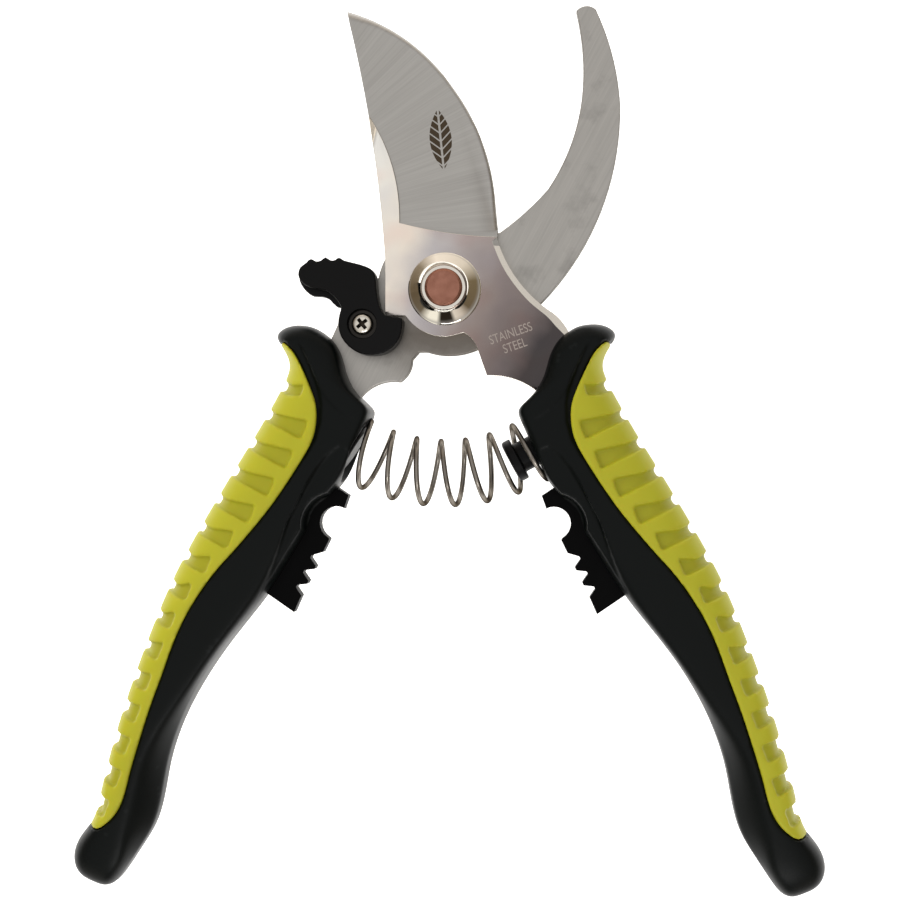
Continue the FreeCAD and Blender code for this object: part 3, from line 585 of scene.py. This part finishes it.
# handles
# Rows down the handle: inner point (along, out), outer point (along, out), half depth,
# and how far the face's inner crease stands from the inner side.
handle = {
    "stations": [
        ((20.6, 16.4), (20.3, 19.7), 3.6, 0.8),
        ((21.4, 14.0), (21.2, 22.5), 5.8, 1.2),
        ((23.1, 11.6), (22.6, 24.9), 7.0, 1.5),
        ((25.4, 9.6), (24.4, 26.3), 7.7, 1.6),
        ((27.3, 7.1), (26.2, 26.7), 8.1, 1.7),
        ((28.3, 4.7), (27.3, 24.5), 8.3, 1.8),
        ((29.0, 2.0), (28.5, 22.3), 8.5, 1.2),
        ((29.4, 0.4), (30.0, 20.9), 8.5, 0.9),
        ((31.2, 0.0), (31.4, 20.4), 8.5, 0.8),
        ((34.2, -0.2), (34.2, 20.0), 8.5, 0.8),
        ((39.5, -0.9), (39.5, 19.9), 8.5, 0.8),
        ((45.5, -1.6), (45.5, 19.9), 8.5, 0.8),
        ((49.5, -0.4), (49.5, 20.0), 8.5, 1.0),
        ((56.5, 0.0), (56.5, 20.2), 8.5, 1.2),
        ((65.5, 0.1), (65.5, 20.3), 8.5, 2.3),
        ((74.0, 0.4), (74.0, 20.3), 8.5, 1.5),
        ((82.0, 1.8), (82.0, 19.9), 8.5, 1.1),
        ((90.0, 3.0), (90.0, 18.8), 8.5, 0.9),
        ((98.5, 3.4), (98.5, 17.4), 8.5, 1.1),
        ((106.5, 2.8), (106.5, 15.8), 8.4, 2.4),
        ((114.0, 1.2), (114.0, 14.1), 8.3, 4.3),
        ((119.0, -0.7), (120.0, 12.5), 8.2, 5.0),
        ((124.2, -2.6), (126.5, 10.7), 8.0, 5.6),
        ((128.4, -3.4), (131.9, 8.8), 7.8, 5.0),
        ((132.4, -3.2), (135.0, 8.9), 7.6, 3.4),
        ((136.8, -2.9), (138.3, 9.7), 7.2, 1.8),
        ((140.8, -2.7), (141.9, 9.2), 6.4, 1.8),
        ((143.3, -2.0), (144.6, 7.0), 4.8, 1.4),
        ((144.6, -0.2), (145.2, 4.2), 2.6, 0.8),
    ],
    "border": [
        (26.2, 23.4), (27.0, 20.3), (29.1, 16.9), (31.8, 13.2), (34.0, 10.7), (37.0, 8.8),
        (40.6, 7.6), (45.0, 7.4), (52.0, 7.7), (59.0, 8.4), (68.0, 10.0), (74.0, 11.3),
        (80.0, 12.0), (86.0, 12.1), (92.0, 11.5), (98.5, 10.3), (105.5, 9.1), (113.0, 7.5),
        (119.0, 6.1), (123.6, 4.8), (127.4, 4.2), (130.7, 4.7), (133.4, 6.0), (134.4, 8.2),
    ],
    "seam": 0.12,  # half of the line between shell and grip
    "skin": 1.05,  # depth of the grip's windows
    "windows": 15,
    "firstWindow": 33.6,
    "windowPitch": 6.85,
    "windowLean": 0.6,
    "firstFoot": (2.6, 1.2),  # rim and half width at a window's inner end
    "otherFeet": (1.9, 2.0),
    "floorFrom": 0.3,  # depth at which the painted shade on a window's floor starts
    "floorSpan": 0.5,
    "webHalf": 1.1,
    "grain": 0.36,  # size of the remeshing, which rounds every edge
    # the raised collar ends at this line, and the face beyond it lies lower
    "collarLine": [
        (24.6, 24.4), (25.6, 21.0), (27.6, 16.8), (30.3, 12.4), (31.8, 9.2), (32.6, 6.4), (32.9, 3.2),
        (32.2, -4.0),
    ],
    "collarEnd": [(60, -4), (60, 24)],  # closes the outline of what is cut away
    "collarStep": (8.0, 0.7, 26),  # height, lean in degrees, where the lean starts
    # the comb's side of this ridge lies lower too
    "combLine": [
        (38.8, 2.4), (41.5, 3.4), (45.0, 4.0), (48.5, 4.15), (53.0, 3.9), (56.5, 3.8), (60.0, 3.3),
        (65.5, 2.3), (71.0, 1.6), (77.0, 1.2),
    ],
    "combEnd": [(77, -9), (38.8, -9)],
    "combStep": (7.75, -2.6, 39),
    "beakWidths": (2.3, 2.1, 1.8, 1.5, 1.2, 0.9, 0.6, 0.3),  # of the dark step beside the grip's head
    "beakStep": 7.0,
    "scoop": (54.0, -5.0, 7.6),  # round the comb's notch
    "scoopTaper": 0.86,
    "combHalf": 2.0,
    "pocketRadius": 7.45,
    "pocketLength": 9.5,
}


def sectionCorners(station, inset):
    # the corners of one cross-section, from the inner side round the front and back again
    (innerAlong, innerOut), (outerAlong, outerOut), depth, crease = station
    start, end = Vector((innerAlong, innerOut)), Vector((outerAlong, outerOut))
    width = (end - start).length
    along = (end - start) / width
    start, width, depth = start + along * inset, width - 2 * inset, depth - inset
    crease = min(crease, 0.4 * width)
    face = width - crease
    flat = min(max((crease - 1.2) / 1.8, 0), 1)  # a wide crease is one flat facet
    profile = [
        ((0.06 - 0.03 * flat) * crease, 0.45 - 0.10 * flat),
        ((0.30 + 0.18 * flat) * crease, 0.80 - 0.13 * flat), (crease, 0.96),
        (crease + 0.22 * face, 1.0), (crease + 0.52 * face, 1.0),
        (crease + 0.78 * face, 0.90), (crease + 0.94 * face, 0.55),
    ]
    loop = [(0, 0), *profile, (width, 0), *[(x, -z) for x, z in reversed(profile)]]
    return [(*(start + along * x), z * depth) for x, z in loop]


def handleForm(name, inset=0.0):
    # rings drawn down the handle, bridged, closed and rounded
    size = 16
    rings = []
    for number, station in enumerate(handle["stations"]):
        corners = sectionCorners(station, inset)
        ring = drawLine(f"{name}Ring{number}", corners)
        bpy.ops.mesh.select_all(action="DESELECT")
        endEdit()
        ring.data.vertices[0].select = ring.data.vertices[size - 1].select = True
        bpy.ops.object.mode_set(mode="EDIT")
        bpy.ops.mesh.edge_face_add()
        endEdit()
        rings.append(ring)
    form = joinAll(*rings)
    form.name = form.data.name = name
    count = len(handle["stations"])
    for number in range(count - 1):
        startEdit(form, lambda vertex: vertex.index // size in (number, number + 1))
        bpy.ops.mesh.bridge_edge_loops()
        endEdit()
    for number in (0, count - 1):
        startEdit(form, lambda vertex: vertex.index // size == number)
        bpy.ops.mesh.edge_face_add()
        endEdit()
    # the crease down the face's inner side
    startEdit(form)
    bpy.ops.mesh.normals_make_consistent(inside=False)
    bpy.ops.mesh.select_all(action="DESELECT")
    bpy.ops.mesh.select_mode(type="EDGE")
    endEdit()
    for edge in form.data.edges:
        a, b = edge.vertices
        edge.select = a // size != b // size and a % size == b % size and a % size in (3, 13)
    bpy.ops.object.mode_set(mode="EDIT")
    bpy.ops.transform.edge_crease(value=0.75)
    bpy.ops.mesh.select_mode(type="VERT")
    endEdit()
    finishModifier(form, "SUBSURF", levels=2, render_levels=2)
    return form


def gripZone(name, shift):
    # everything outside the line where the grip begins, moved out or in by half the seam
    line = rounded(handle["border"], 3)
    moved = []
    for index, (x, y) in enumerate(line):
        before, after = Vector(line[max(index - 1, 0)]), Vector(line[min(index + 1, len(line) - 1)])
        run = (after - before).normalized()
        moved.append((x - run.y * shift, y + run.x * shift))
    corners = [*moved, (134.9 - shift, 14), (134, 40), (32, 40), (28.3 + shift, 26.5), (27.4 + shift, 24.6)]
    return drawPlate(name, corners, -12, 12)


def windowCutters():
    # a wedge for each window down the grip: wide at its inner end, narrow at the outside
    tools = []
    border = handle["border"]
    for number in range(handle["windows"]):
        along = handle["firstWindow"] + handle["windowPitch"] * number
        foot = along - handle["windowLean"]
        inner = 0
        for (x0, y0), (x1, y1) in zip(border, border[1:]):
            if x0 <= foot <= x1:
                inner = y0 + (y1 - y0) * (foot - x0) / (x1 - x0)
        rim, wide = handle["otherFeet"] if number else handle["firstFoot"]
        corners = [
            (foot - wide, inner + rim + 0.5), (foot + wide, inner + rim - 0.1),
            (along + 1.8, 17), (along + 2.4, 26), (along + 0.3, 26), (along - 0.5, 17),
        ]
        tools.append(drawPlate(f"windowTool{number}", corners, -12, 12))
    return joinAll(*tools)


def tiltedSlabs(name, corners, height, rise=0.0, start=0.0):
    # one slab in front and one behind, whose faces lean away from the start
    front = drawPlate(name, corners, height, 12)
    back = drawPlate(f"{name}Back", corners, -12, -height)
    for slab, sign in ((front, 1), (back, -1)):
        startEdit(slab)
        bpy.ops.transform.rotate(value=math.radians(rise * sign), orient_axis="Y", orient_type="GLOBAL",
                                 center_override=(start * mm, 0, height * sign * mm))
        endEdit()
    return joinAll(front, back)


def beakCorners():
    # a strip beside the grip's border, widest at the beak
    border, widths = handle["border"], handle["beakWidths"]
    inner = []
    for index, width in enumerate(widths):
        run = (Vector(border[index + 1]) - Vector(border[max(index - 1, 0)])).normalized()
        inner.append((border[index][0] + run.y * width, border[index][1] - run.x * width))
    return [*border[:len(widths)], *reversed(inner)]


def combScoop(turned):
    # a round hollow above the comb, and the same below it
    x, y, radius = handle["scoop"]
    height = 12
    middle = (handle["combHalf"] - 0.05 + height / 2) * (-1 if turned else 1)
    tool = addCylinder(radius, height, (x, y, middle))
    settle(tool)
    startEdit(tool, lambda vertex: abs(vertex.co.z) < (handle["combHalf"] + 1) * mm)
    bpy.ops.transform.resize(value=(handle["scoopTaper"],) * 2 + (1,), center_override=(x * mm, y * mm, 0))
    endEdit()
    return tool


def springPocket():
    # the hole in the left handle's wall that the coil goes into
    angle = math.radians(spring["leftEnd"])
    place = (spring["arc"] * math.sin(angle), -spring["arc"] * math.cos(angle), midHeight)
    tool = addCylinder(handle["pocketRadius"], handle["pocketLength"], place, 48)
    tool.rotation_euler = (0, math.radians(90), angle)
    settle(tool)
    return tool


def makeHandles():
    grain = handle["grain"] * mm
    form = handleForm("handleForm")
    core = handleForm("gripCore", handle["skin"])

    shell = ownCopy(form, "rightShell")
    carve(shell, gripZone("shellZone", -handle["seam"]))
    for part in ("collar", "comb"):
        corners = rounded(handle[f"{part}Line"], 3) + handle[f"{part}End"]
        carve(shell, tiltedSlabs(f"{part}Tool", corners, *handle[f"{part}Step"]))
    carve(shell, tiltedSlabs("beakTool", beakCorners(), handle["beakStep"]))
    for turned in (False, True):
        carve(shell, combScoop(turned))

    # a web under the line between shell and grip, so that the gap can't be seen through
    web = ownCopy(core, "seamWeb")
    carve(web, gripZone("webZone", -handle["webHalf"]), "INTERSECT")
    carve(web, gripZone("webCore", handle["webHalf"]))
    joinAll(shell, web)

    grip = ownCopy(form, "rightGrip")
    carve(grip, gripZone("gripZone", handle["seam"]), "INTERSECT")
    carve(grip, windowCutters())
    carve(core, gripZone("coreZone", handle["seam"] + 0.3), "INTERSECT")
    joinAll(grip, core)
    surface = BVHTree.FromObject(form, bpy.context.evaluated_depsgraph_get())

    for piece in (shell, grip):
        finishModifier(piece, "REMESH", mode="VOXEL", voxel_size=grain)
        finishModifier(piece, "SMOOTH", factor=0.5, iterations=5)
        if piece == grip:
            # how far each point lies below the handle's own surface, for the painted shade on the windows'
            # floors
            hollow = piece.data.attributes.new("hollow", "FLOAT", "POINT")
            for vertex, item in zip(piece.data.vertices, hollow.data):
                depth = surface.find_nearest(vertex.co)[3] / mm
                item.value = min(max((depth - handle["floorFrom"]) / handle["floorSpan"], 0), 1)
        piece.rotation_euler = (0, 0, math.radians(handleTurn - 90))
        piece.location = (0, 0, midHeight * mm)
        settle(piece)
        smoothShade(piece, 180)
        print(piece.name, len(piece.data.polygons))
    bpy.data.objects.remove(form)
    for side, body, other in (("right", "blade_side", False), ("left", "hook_side", True)):
        shellPiece = mirrored(shell, "leftShell") if other else shell
        if other:
            carve(shellPiece, springPocket())
        gripPiece = mirrored(grip, "leftGrip") if other else grip
        for piece in (shellPiece, gripPiece):
            smoothShade(piece, 180)
        finishPiece(shellPiece, body, shellBlack, "shell_plastic", f"{side}_handle_shell")
        finishPiece(gripPiece, body, limeRubber, "lime_grip", f"{side}_grip")
    print("handles made")


makeHandles()

# combs, studs and lock
comb = {
    "notch": (53.6, -4.7, 3.5),
    "lowHeight": -2.0, "highHeight": 2.0,
    "teeth": 3, "firstValley": 62.4, "pitch": 3.45, "toothDepth": 1.7,
    "toothReach": -5.1, "toothLean": 0.07, "leanFrom": 60,
    "edge": 0.3,
    # the outline before the notch, between notch and teeth, and after the teeth
    "head": [(46.9, 2.5), (47.3, -4.0), (50.0, -4.5)],
    "bridge": [(57.3, -5.1), (60.3, -5.3)],
    "tail": [(74.3, -6.35), (73.6, 2.8), (60, 3.0)],
}


def makeComb(side, body):
    x, y, radius = comb["notch"]
    corners = [*comb["head"]]
    for step in range(13):
        turn = math.pi - math.pi * step / 12
        corners.append((x + radius * math.cos(turn), y + radius * math.sin(turn)))
    corners += comb["bridge"]
    for number in range(comb["teeth"]):
        valley = comb["firstValley"] + comb["pitch"] * number
        reach = comb["toothReach"] - comb["toothLean"] * (valley - comb["leanFrom"])
        corners += [(valley - 0.3, reach + comb["toothDepth"]), (valley + 0.3, reach + comb["toothDepth"]),
                    (valley + 1.2, reach - 0.2), (valley + 1.9, reach - 0.25)]
    corners += comb["tail"]
    piece = drawPlate(f"{side}Comb", corners, comb["lowHeight"], comb["highHeight"])
    finishModifier(piece, "BEVEL", width=comb["edge"] * mm, segments=2, limit_method="ANGLE",
                   angle_limit=math.radians(25))
    piece.rotation_euler = (0, 0, math.radians(handleTurn - 90))
    piece.location = (0, 0, midHeight * mm)
    settle(piece)
    if side == "left":
        turned = mirrored(piece, "leftCombMould")
        bpy.data.objects.remove(piece)
        turned.name = turned.data.name = "leftComb"
        piece = turned
    smoothShade(piece, 35)
    finishModifier(piece, "WEIGHTED_NORMAL", keep_sharp=True, weight=80)
    finishPiece(piece, body, combBlack, "black_nylon", f"{side}_comb")


thumb = {
    "low": 6.75, "high": 11.9,
    "recess": (-17.1, -7.3, 3.15, 2.0),
    "bore": 1.75,
    "hookTop": 9.8,
    "edge": 0.7, "hookEdge": 0.5,
    "hook": [
        (-30.4, 3.0), (-30.2, 1.2), (-29.0, -0.4), (-27.6, -1.3), (-25.8, -1.4), (-24.2, -2.0), (-22.6, -3.6),
        (-20.5, -3.4), (-21.5, 1.0), (-27.0, 4.0),
    ],
    "outline": [
        (-30.5, 3.1), (-30.1, 4.5), (-28.8, 5.5), (-27.9, 6.35), (-26.8, 5.75), (-25.7, 5.95), (-24.8, 6.6),
        (-23.7, 5.95), (-22.7, 6.05), (-21.9, 6.6), (-20.9, 5.9), (-17.7, 5.1), (-15.4, 4.2), (-14.5, 3.2),
        (-14.2, 1.8), (-14.0, -0.8), (-13.4, -3.7), (-12.2, -5.5), (-9.4, -6.0), (-8.7, -6.5), (-8.7, -8.0),
        (-9.2, -10.2), (-10.5, -12.1), (-12.6, -13.4), (-15.0, -13.8), (-17.6, -13.4), (-19.9, -12.0),
        (-21.5, -9.9), (-22.1, -7.4), (-21.8, -5.2), (-21.5, -3.9), (-22.2, -2.5), (-23.6, -1.0),
        (-25.1, -0.2), (-27.0, 0.1), (-29.0, 0.8), (-30.1, 1.9),
    ],
}


def makeLever():
    lever = drawPlate("thumbLever", rounded(thumb["outline"], 2, closed=True), thumb["low"], thumb["high"])
    finishModifier(lever, "BEVEL", width=thumb["edge"] * mm, segments=4, limit_method="ANGLE",
                   angle_limit=math.radians(60))
    outline = rounded(thumb["hook"], 2, closed=True)
    hook = drawPlate("thumbHook", outline, thumb["low"] + 0.1, thumb["hookTop"])
    finishModifier(hook, "BEVEL", width=thumb["hookEdge"] * mm, segments=3, limit_method="ANGLE",
                   angle_limit=math.radians(60))
    carve(lever, hook, "UNION")
    x, y, radius, depth = thumb["recess"]
    # the screw's recess from above, then its hole right through
    for drill in (
        addCylinder(radius, 4, (x, y, thumb["high"] - depth + 2)),
        addCylinder(thumb["bore"], 12, (x, y, thumb["low"] + 2), 48),
    ):
        settle(drill)
        carve(lever, drill)
    smoothShade(lever, 35)
    finishModifier(lever, "WEIGHTED_NORMAL", keep_sharp=True, weight=80)
    finishPiece(lever, "lock_lever", partBlack, "black_nylon", "lock_lever")


for side, body in (("right", "blade_side"), ("left", "hook_side")):
    makeComb(side, body)
    stud = eased(f"{side}Stud", f"{side}_spring_stud", 0.25, 2)
    finishPiece(stud, body, partBlack, "black_nylon", f"{side}_spring_stud")
makeLever()
print("combs, studs and lever made")


# metal parts
def turnedPart(name, profile, place, steps=96):
    # a lathe part: its half profile is spun about its own axis
    piece = drawLine(name, [(x, 0, z) for x, z in profile])
    bpy.ops.mesh.select_all(action="SELECT")
    bpy.ops.mesh.spin(steps=steps, angle=math.tau, center=(0, 0, 0), axis=(0, 0, 1))
    bpy.ops.mesh.select_all(action="SELECT")
    bpy.ops.mesh.remove_doubles(threshold=0.001 * mm)
    turnOutward()
    piece.location = [value * mm for value in place]
    settle(piece)
    smoothShade(piece, 30)
    return piece


coneWasher = [
    (3.76, 0.0), (7.55, 0.0), (7.6, 0.08), (7.6, 0.5), (7.5, 0.62), (7.3, 0.72),
    (6.9, 0.98), (6.4, 1.38), (5.9, 1.80), (5.4, 2.24), (5.0, 2.62), (4.75, 2.95), (4.62, 3.3), (4.58, 3.6),
    (4.48, 3.74), (4.2, 3.8), (3.92, 3.78), (3.8, 3.68), (3.76, 3.2), (3.76, 0.0),
]
washer = turnedPart("coneWasher", coneWasher, (0, 0, 9.7))
finishPiece(washer, "hook_side", chrome, "chrome_washer", "pivot_cone_washer")

screwHead = {
    "place": (-17.1, -7.3, 10.35),
    "profile": [
        (0, -3.0), (1.55, -3.0), (1.6, -0.02), (2.2, 0.0), (2.3, 0.12), (2.28, 0.5), (2.1, 0.95),
        (1.7, 1.3), (1.1, 1.45), (0.5, 1.5), (0, 1.5),
    ],
    "slotLength": 3.2, "slotWidth": 0.85, "slotDepth": 1.1, "turn": 38,
    "barTop": 1.7, "barSpare": 0.4, "waist": 1.2, "taper": (0.45, 0.6, 1),
}


def makeScrew():
    screw = turnedPart("crossScrew", screwHead["profile"], (0, 0, 0), 64)
    for number in range(2):
        # one bar of the cross, narrower at its bottom
        bpy.ops.object.select_all(action="DESELECT")
        middle = screwHead["barTop"] - screwHead["slotDepth"] / 2
        bpy.ops.mesh.primitive_cube_add(size=1 * mm, location=(0, 0, middle * mm))
        bar = bpy.context.object
        depth = screwHead["slotDepth"] + screwHead["barSpare"]
        bar.scale = (screwHead["slotLength"], screwHead["slotWidth"], depth)
        settle(bar)
        startEdit(bar, lambda vertex: vertex.co.z < screwHead["waist"] * mm)
        bpy.ops.transform.resize(value=screwHead["taper"], center_override=(0, 0, 0))
        endEdit()
        bar.rotation_euler = (0, 0, math.radians(screwHead["turn"] + 90 * number))
        settle(bar)
        carve(screw, bar)
    screw.location = [value * mm for value in screwHead["place"]]
    settle(screw)
    smoothShade(screw, 30)
    finishPiece(screw, "hook_side", screwMetal, "screw_steel", "lock_screw")


makeScrew()


def neckTool():
    # a wide bevel down the blade's neck: a sloped strip pulled upward
    neck = {
        "line": [
            (9.75, 9.9), (11.8, 5.0), (14.4, 0.9), (17.6, -2.8), (21.2, -5.8), (23.2, -8.0), (25.8, -10.6),
        ],
        "out": (1.92, 1.44, -0.95), "pull": 3.0,
    }
    tool = drawLine("neckTool", [(x, y, 9.66) for x, y in rounded(neck["line"], 4)])
    bpy.ops.mesh.select_all(action="SELECT")
    bpy.ops.mesh.extrude_region_move(TRANSFORM_OT_translate={"value": Vector(neck["out"]) * mm})
    bpy.ops.mesh.select_all(action="SELECT")
    bpy.ops.mesh.extrude_region_move(TRANSFORM_OT_translate={"value": (0, 0, neck["pull"] * mm)})
    turnOutward()
    return tool


def makeWords():
    words = {
        "text": "STAINLESS\nSTEEL", "place": (14.0, -10.1, 9.655), "turn": 19, "size": 2.7,
        "narrow": 0.74, "thick": 0.008,
    }
    bpy.ops.object.select_all(action="DESELECT")
    bpy.ops.object.text_add(location=[value * mm for value in words["place"]],
                            rotation=(0, 0, math.radians(words["turn"])))
    piece = bpy.context.object
    piece.data.body = words["text"]
    piece.data.align_x = "CENTER"
    piece.data.size = words["size"] * mm
    piece.data.extrude = words["thick"] * mm
    piece.scale = (words["narrow"], 1, 1)
    pickOnly(piece)
    bpy.ops.object.convert(target="MESH")
    piece = bpy.context.object
    piece.name = piece.data.name = "etchedWords"
    settle(piece)
    finishPiece(piece, "blade_side", etchedSteel, "ground_steel")


makeWords()
for name, node, body, material, slot, width in (
    ("cuttingPlate", "cutting_blade", "blade_side", groundSteel, "ground_steel", 0.28),
    ("hookPlate", "counter_blade", "hook_side", hookSteel, "hook_steel", 0.3),
):
    plate = eased(name, node, width, 2, 60)
    if node == "cutting_blade":
        carve(plate, neckTool())
    finishPiece(plate, body, material, slot, node)
for node, material in (
    ("pivot_rivet", copper), ("pivot_back_washer", chrome), ("lock_wave_washer", darkWasher),
):
    dress(nodes[node], material)
print("metal parts made")


# return spring
def makeSpring():
    reach = spring["rightEnd"] - spring["leftEnd"]
    total = round(reach / spring["turnAngle"] * spring["steps"])
    points = []
    for number in range(total + 1):
        base = spring["leftEnd"] + reach * number / total
        phase = math.tau * (base - spring["firstInner"]) / spring["turnAngle"]
        swing = math.radians(base * (1 + spring["fan"] * math.cos(phase)))
        radius = spring["arc"] - spring["coil"] * math.cos(phase)
        height = midHeight + spring["coil"] * math.sin(phase)
        points.append((radius * math.sin(swing), -radius * math.cos(swing), height))
    wire = drawLine("springWire", points)
    endEdit()
    pickOnly(wire)
    bpy.ops.object.convert(target="CURVE")
    wire = bpy.context.object
    wire.data.bevel_depth = spring["wire"] / 2 * mm
    wire.data.bevel_resolution = 3
    wire.data.use_fill_caps = True
    bpy.ops.object.convert(target="MESH")
    wire = bpy.context.object
    smoothShade(wire, 60)
    dress(wire, wireSteel)
    ends = [points[0], points[-1]]
    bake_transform(wire, "hook_side", "blade_side",
             start=tuple(Vector(ends[0]) * mm), end=tuple(Vector(ends[1]) * mm))
    # the blend's shares written over with an even spread by angle, so the turns close up equally
    share = wire.data.attributes["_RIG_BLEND"].data
    for vertex, item in zip(wire.data.vertices, share):
        swing = math.degrees(math.atan2(vertex.co.x, -vertex.co.y))
        item.value = min(max((swing - spring["leftEnd"]) / reach, 0), 1)
    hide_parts("return_spring")


makeSpring()
print("spring made")

# floor, light and camera
studio = {
    "floorHeight": -30,
    "cameraPlace": (26.4, -38.2, 380.0),
    "cameraTurn": (0.73, 3.9, 0.08),
    "lens": 71.4,
}


def addPanel(name, place, size, power, colour=(1, 1, 1)):
    bpy.ops.object.light_add(type="AREA", location=[value * mm for value in place])
    panel = bpy.context.object
    panel.name = name
    panel.data.shape = "RECTANGLE"
    panel.data.size, panel.data.size_y = size[0] * mm, size[1] * mm
    panel.data.energy = power
    panel.data.color = colour
    aim = Vector((0, -20 * mm, 0)) - panel.location
    panel.rotation_euler = aim.to_track_quat("-Z", "Y").to_euler()
    return panel


bpy.ops.mesh.primitive_plane_add(size=4, location=(0, 0, studio["floorHeight"] * mm))
floor = bpy.context.object
floor.name = "floor"
floorPaint, tree, shader, place = newMaterial("floorPaint", 0.0, 0.9)
tint = mixColour(tree, noiseAt(tree, place, 3, 2), (0.93, 0.93, 0.93), (0.96, 0.96, 0.96))
tree.links.new(tint, shader.inputs["Base Color"])
shader.inputs["Emission Color"].default_value = (1, 1, 1, 1)
shader.inputs["Emission Strength"].default_value = 0.85
dress(floor, floorPaint)

world = bpy.data.worlds.new("studio")
bpy.context.scene.world = world
world.use_nodes = True
# Bright overhead, dim at the sides, with soft patches round the horizon.
sky = world.node_tree
direction = addNode(sky, "ShaderNodeSeparateXYZ")
sky.links.new(addNode(sky, "ShaderNodeTexCoord").outputs["Generated"], direction.inputs[0])
around = mathNode(sky, "ARCTAN2", direction.outputs[1], direction.outputs[0])
around = mathNode(sky, "ADD", mathNode(sky, "DIVIDE", around, math.tau), 0.5)
sides = rampNode(sky, around, [
    (0.02, (0.14, 0.105, 0.065)), (0.10, (0.17, 0.14, 0.10)), (0.150, (1.1, 1.07, 0.97)),
    (0.195, (1.1, 1.07, 0.97)), (0.218, (0.025, 0.018, 0.013)), (0.282, (0.025, 0.018, 0.013)),
    (0.305, (0.85, 0.78, 0.71)), (0.345, (0.70, 0.62, 0.55)), (0.40, (0.16, 0.12, 0.075)),
    (0.56, (0.20, 0.155, 0.09)), (0.66, (0.85, 0.77, 0.67)), (0.80, (1.1, 1.0, 0.90)),
    (0.88, (0.30, 0.24, 0.17)), (0.98, (0.16, 0.12, 0.075)),
])
height = rampNode(sky, direction.outputs[2], [(0.30, (0, 0, 0)), (0.62, (1, 1, 1))])
overhead = rampNode(sky, direction.outputs[2], [(0.45, (0.36, 0.35, 0.35)), (0.86, (0.82, 0.81, 0.80))])
seen = addNode(sky, "ShaderNodeLightPath").outputs["Is Camera Ray"]
backdrop = mixColour(sky, seen, mixColour(sky, height, sides, overhead), (0.93, 0.93, 0.93))
sky.links.new(backdrop, sky.nodes["Background"].inputs[0])
sky.nodes["Background"].inputs[1].default_value = 1.0
for panel in (
    addPanel("keyPanel", (-520, 220, 300), (300, 300), 2.0, (1.0, 0.97, 0.93)),
    addPanel("rightPanel", (480, -80, 560), (200, 360), 0.35, (0.95, 0.96, 1.0)),
):
    panel.visible_glossy = False
addPanel("lowPanel", (60, -430, 360), (300, 90), 0.5)

camera = bpy.data.objects.new("camera", bpy.data.cameras.new("camera"))
bpy.context.scene.collection.objects.link(camera)
bpy.context.scene.camera = camera
camera.location = [value * mm for value in studio["cameraPlace"]]
camera.rotation_euler = [math.radians(value) for value in studio["cameraTurn"]]
camera.data.sensor_width = 36
camera.data.lens = studio["lens"]
camera.data.clip_start, camera.data.clip_end = 0.01, 10
bpy.context.scene.view_settings.view_transform = "Standard"
print("studio ready")
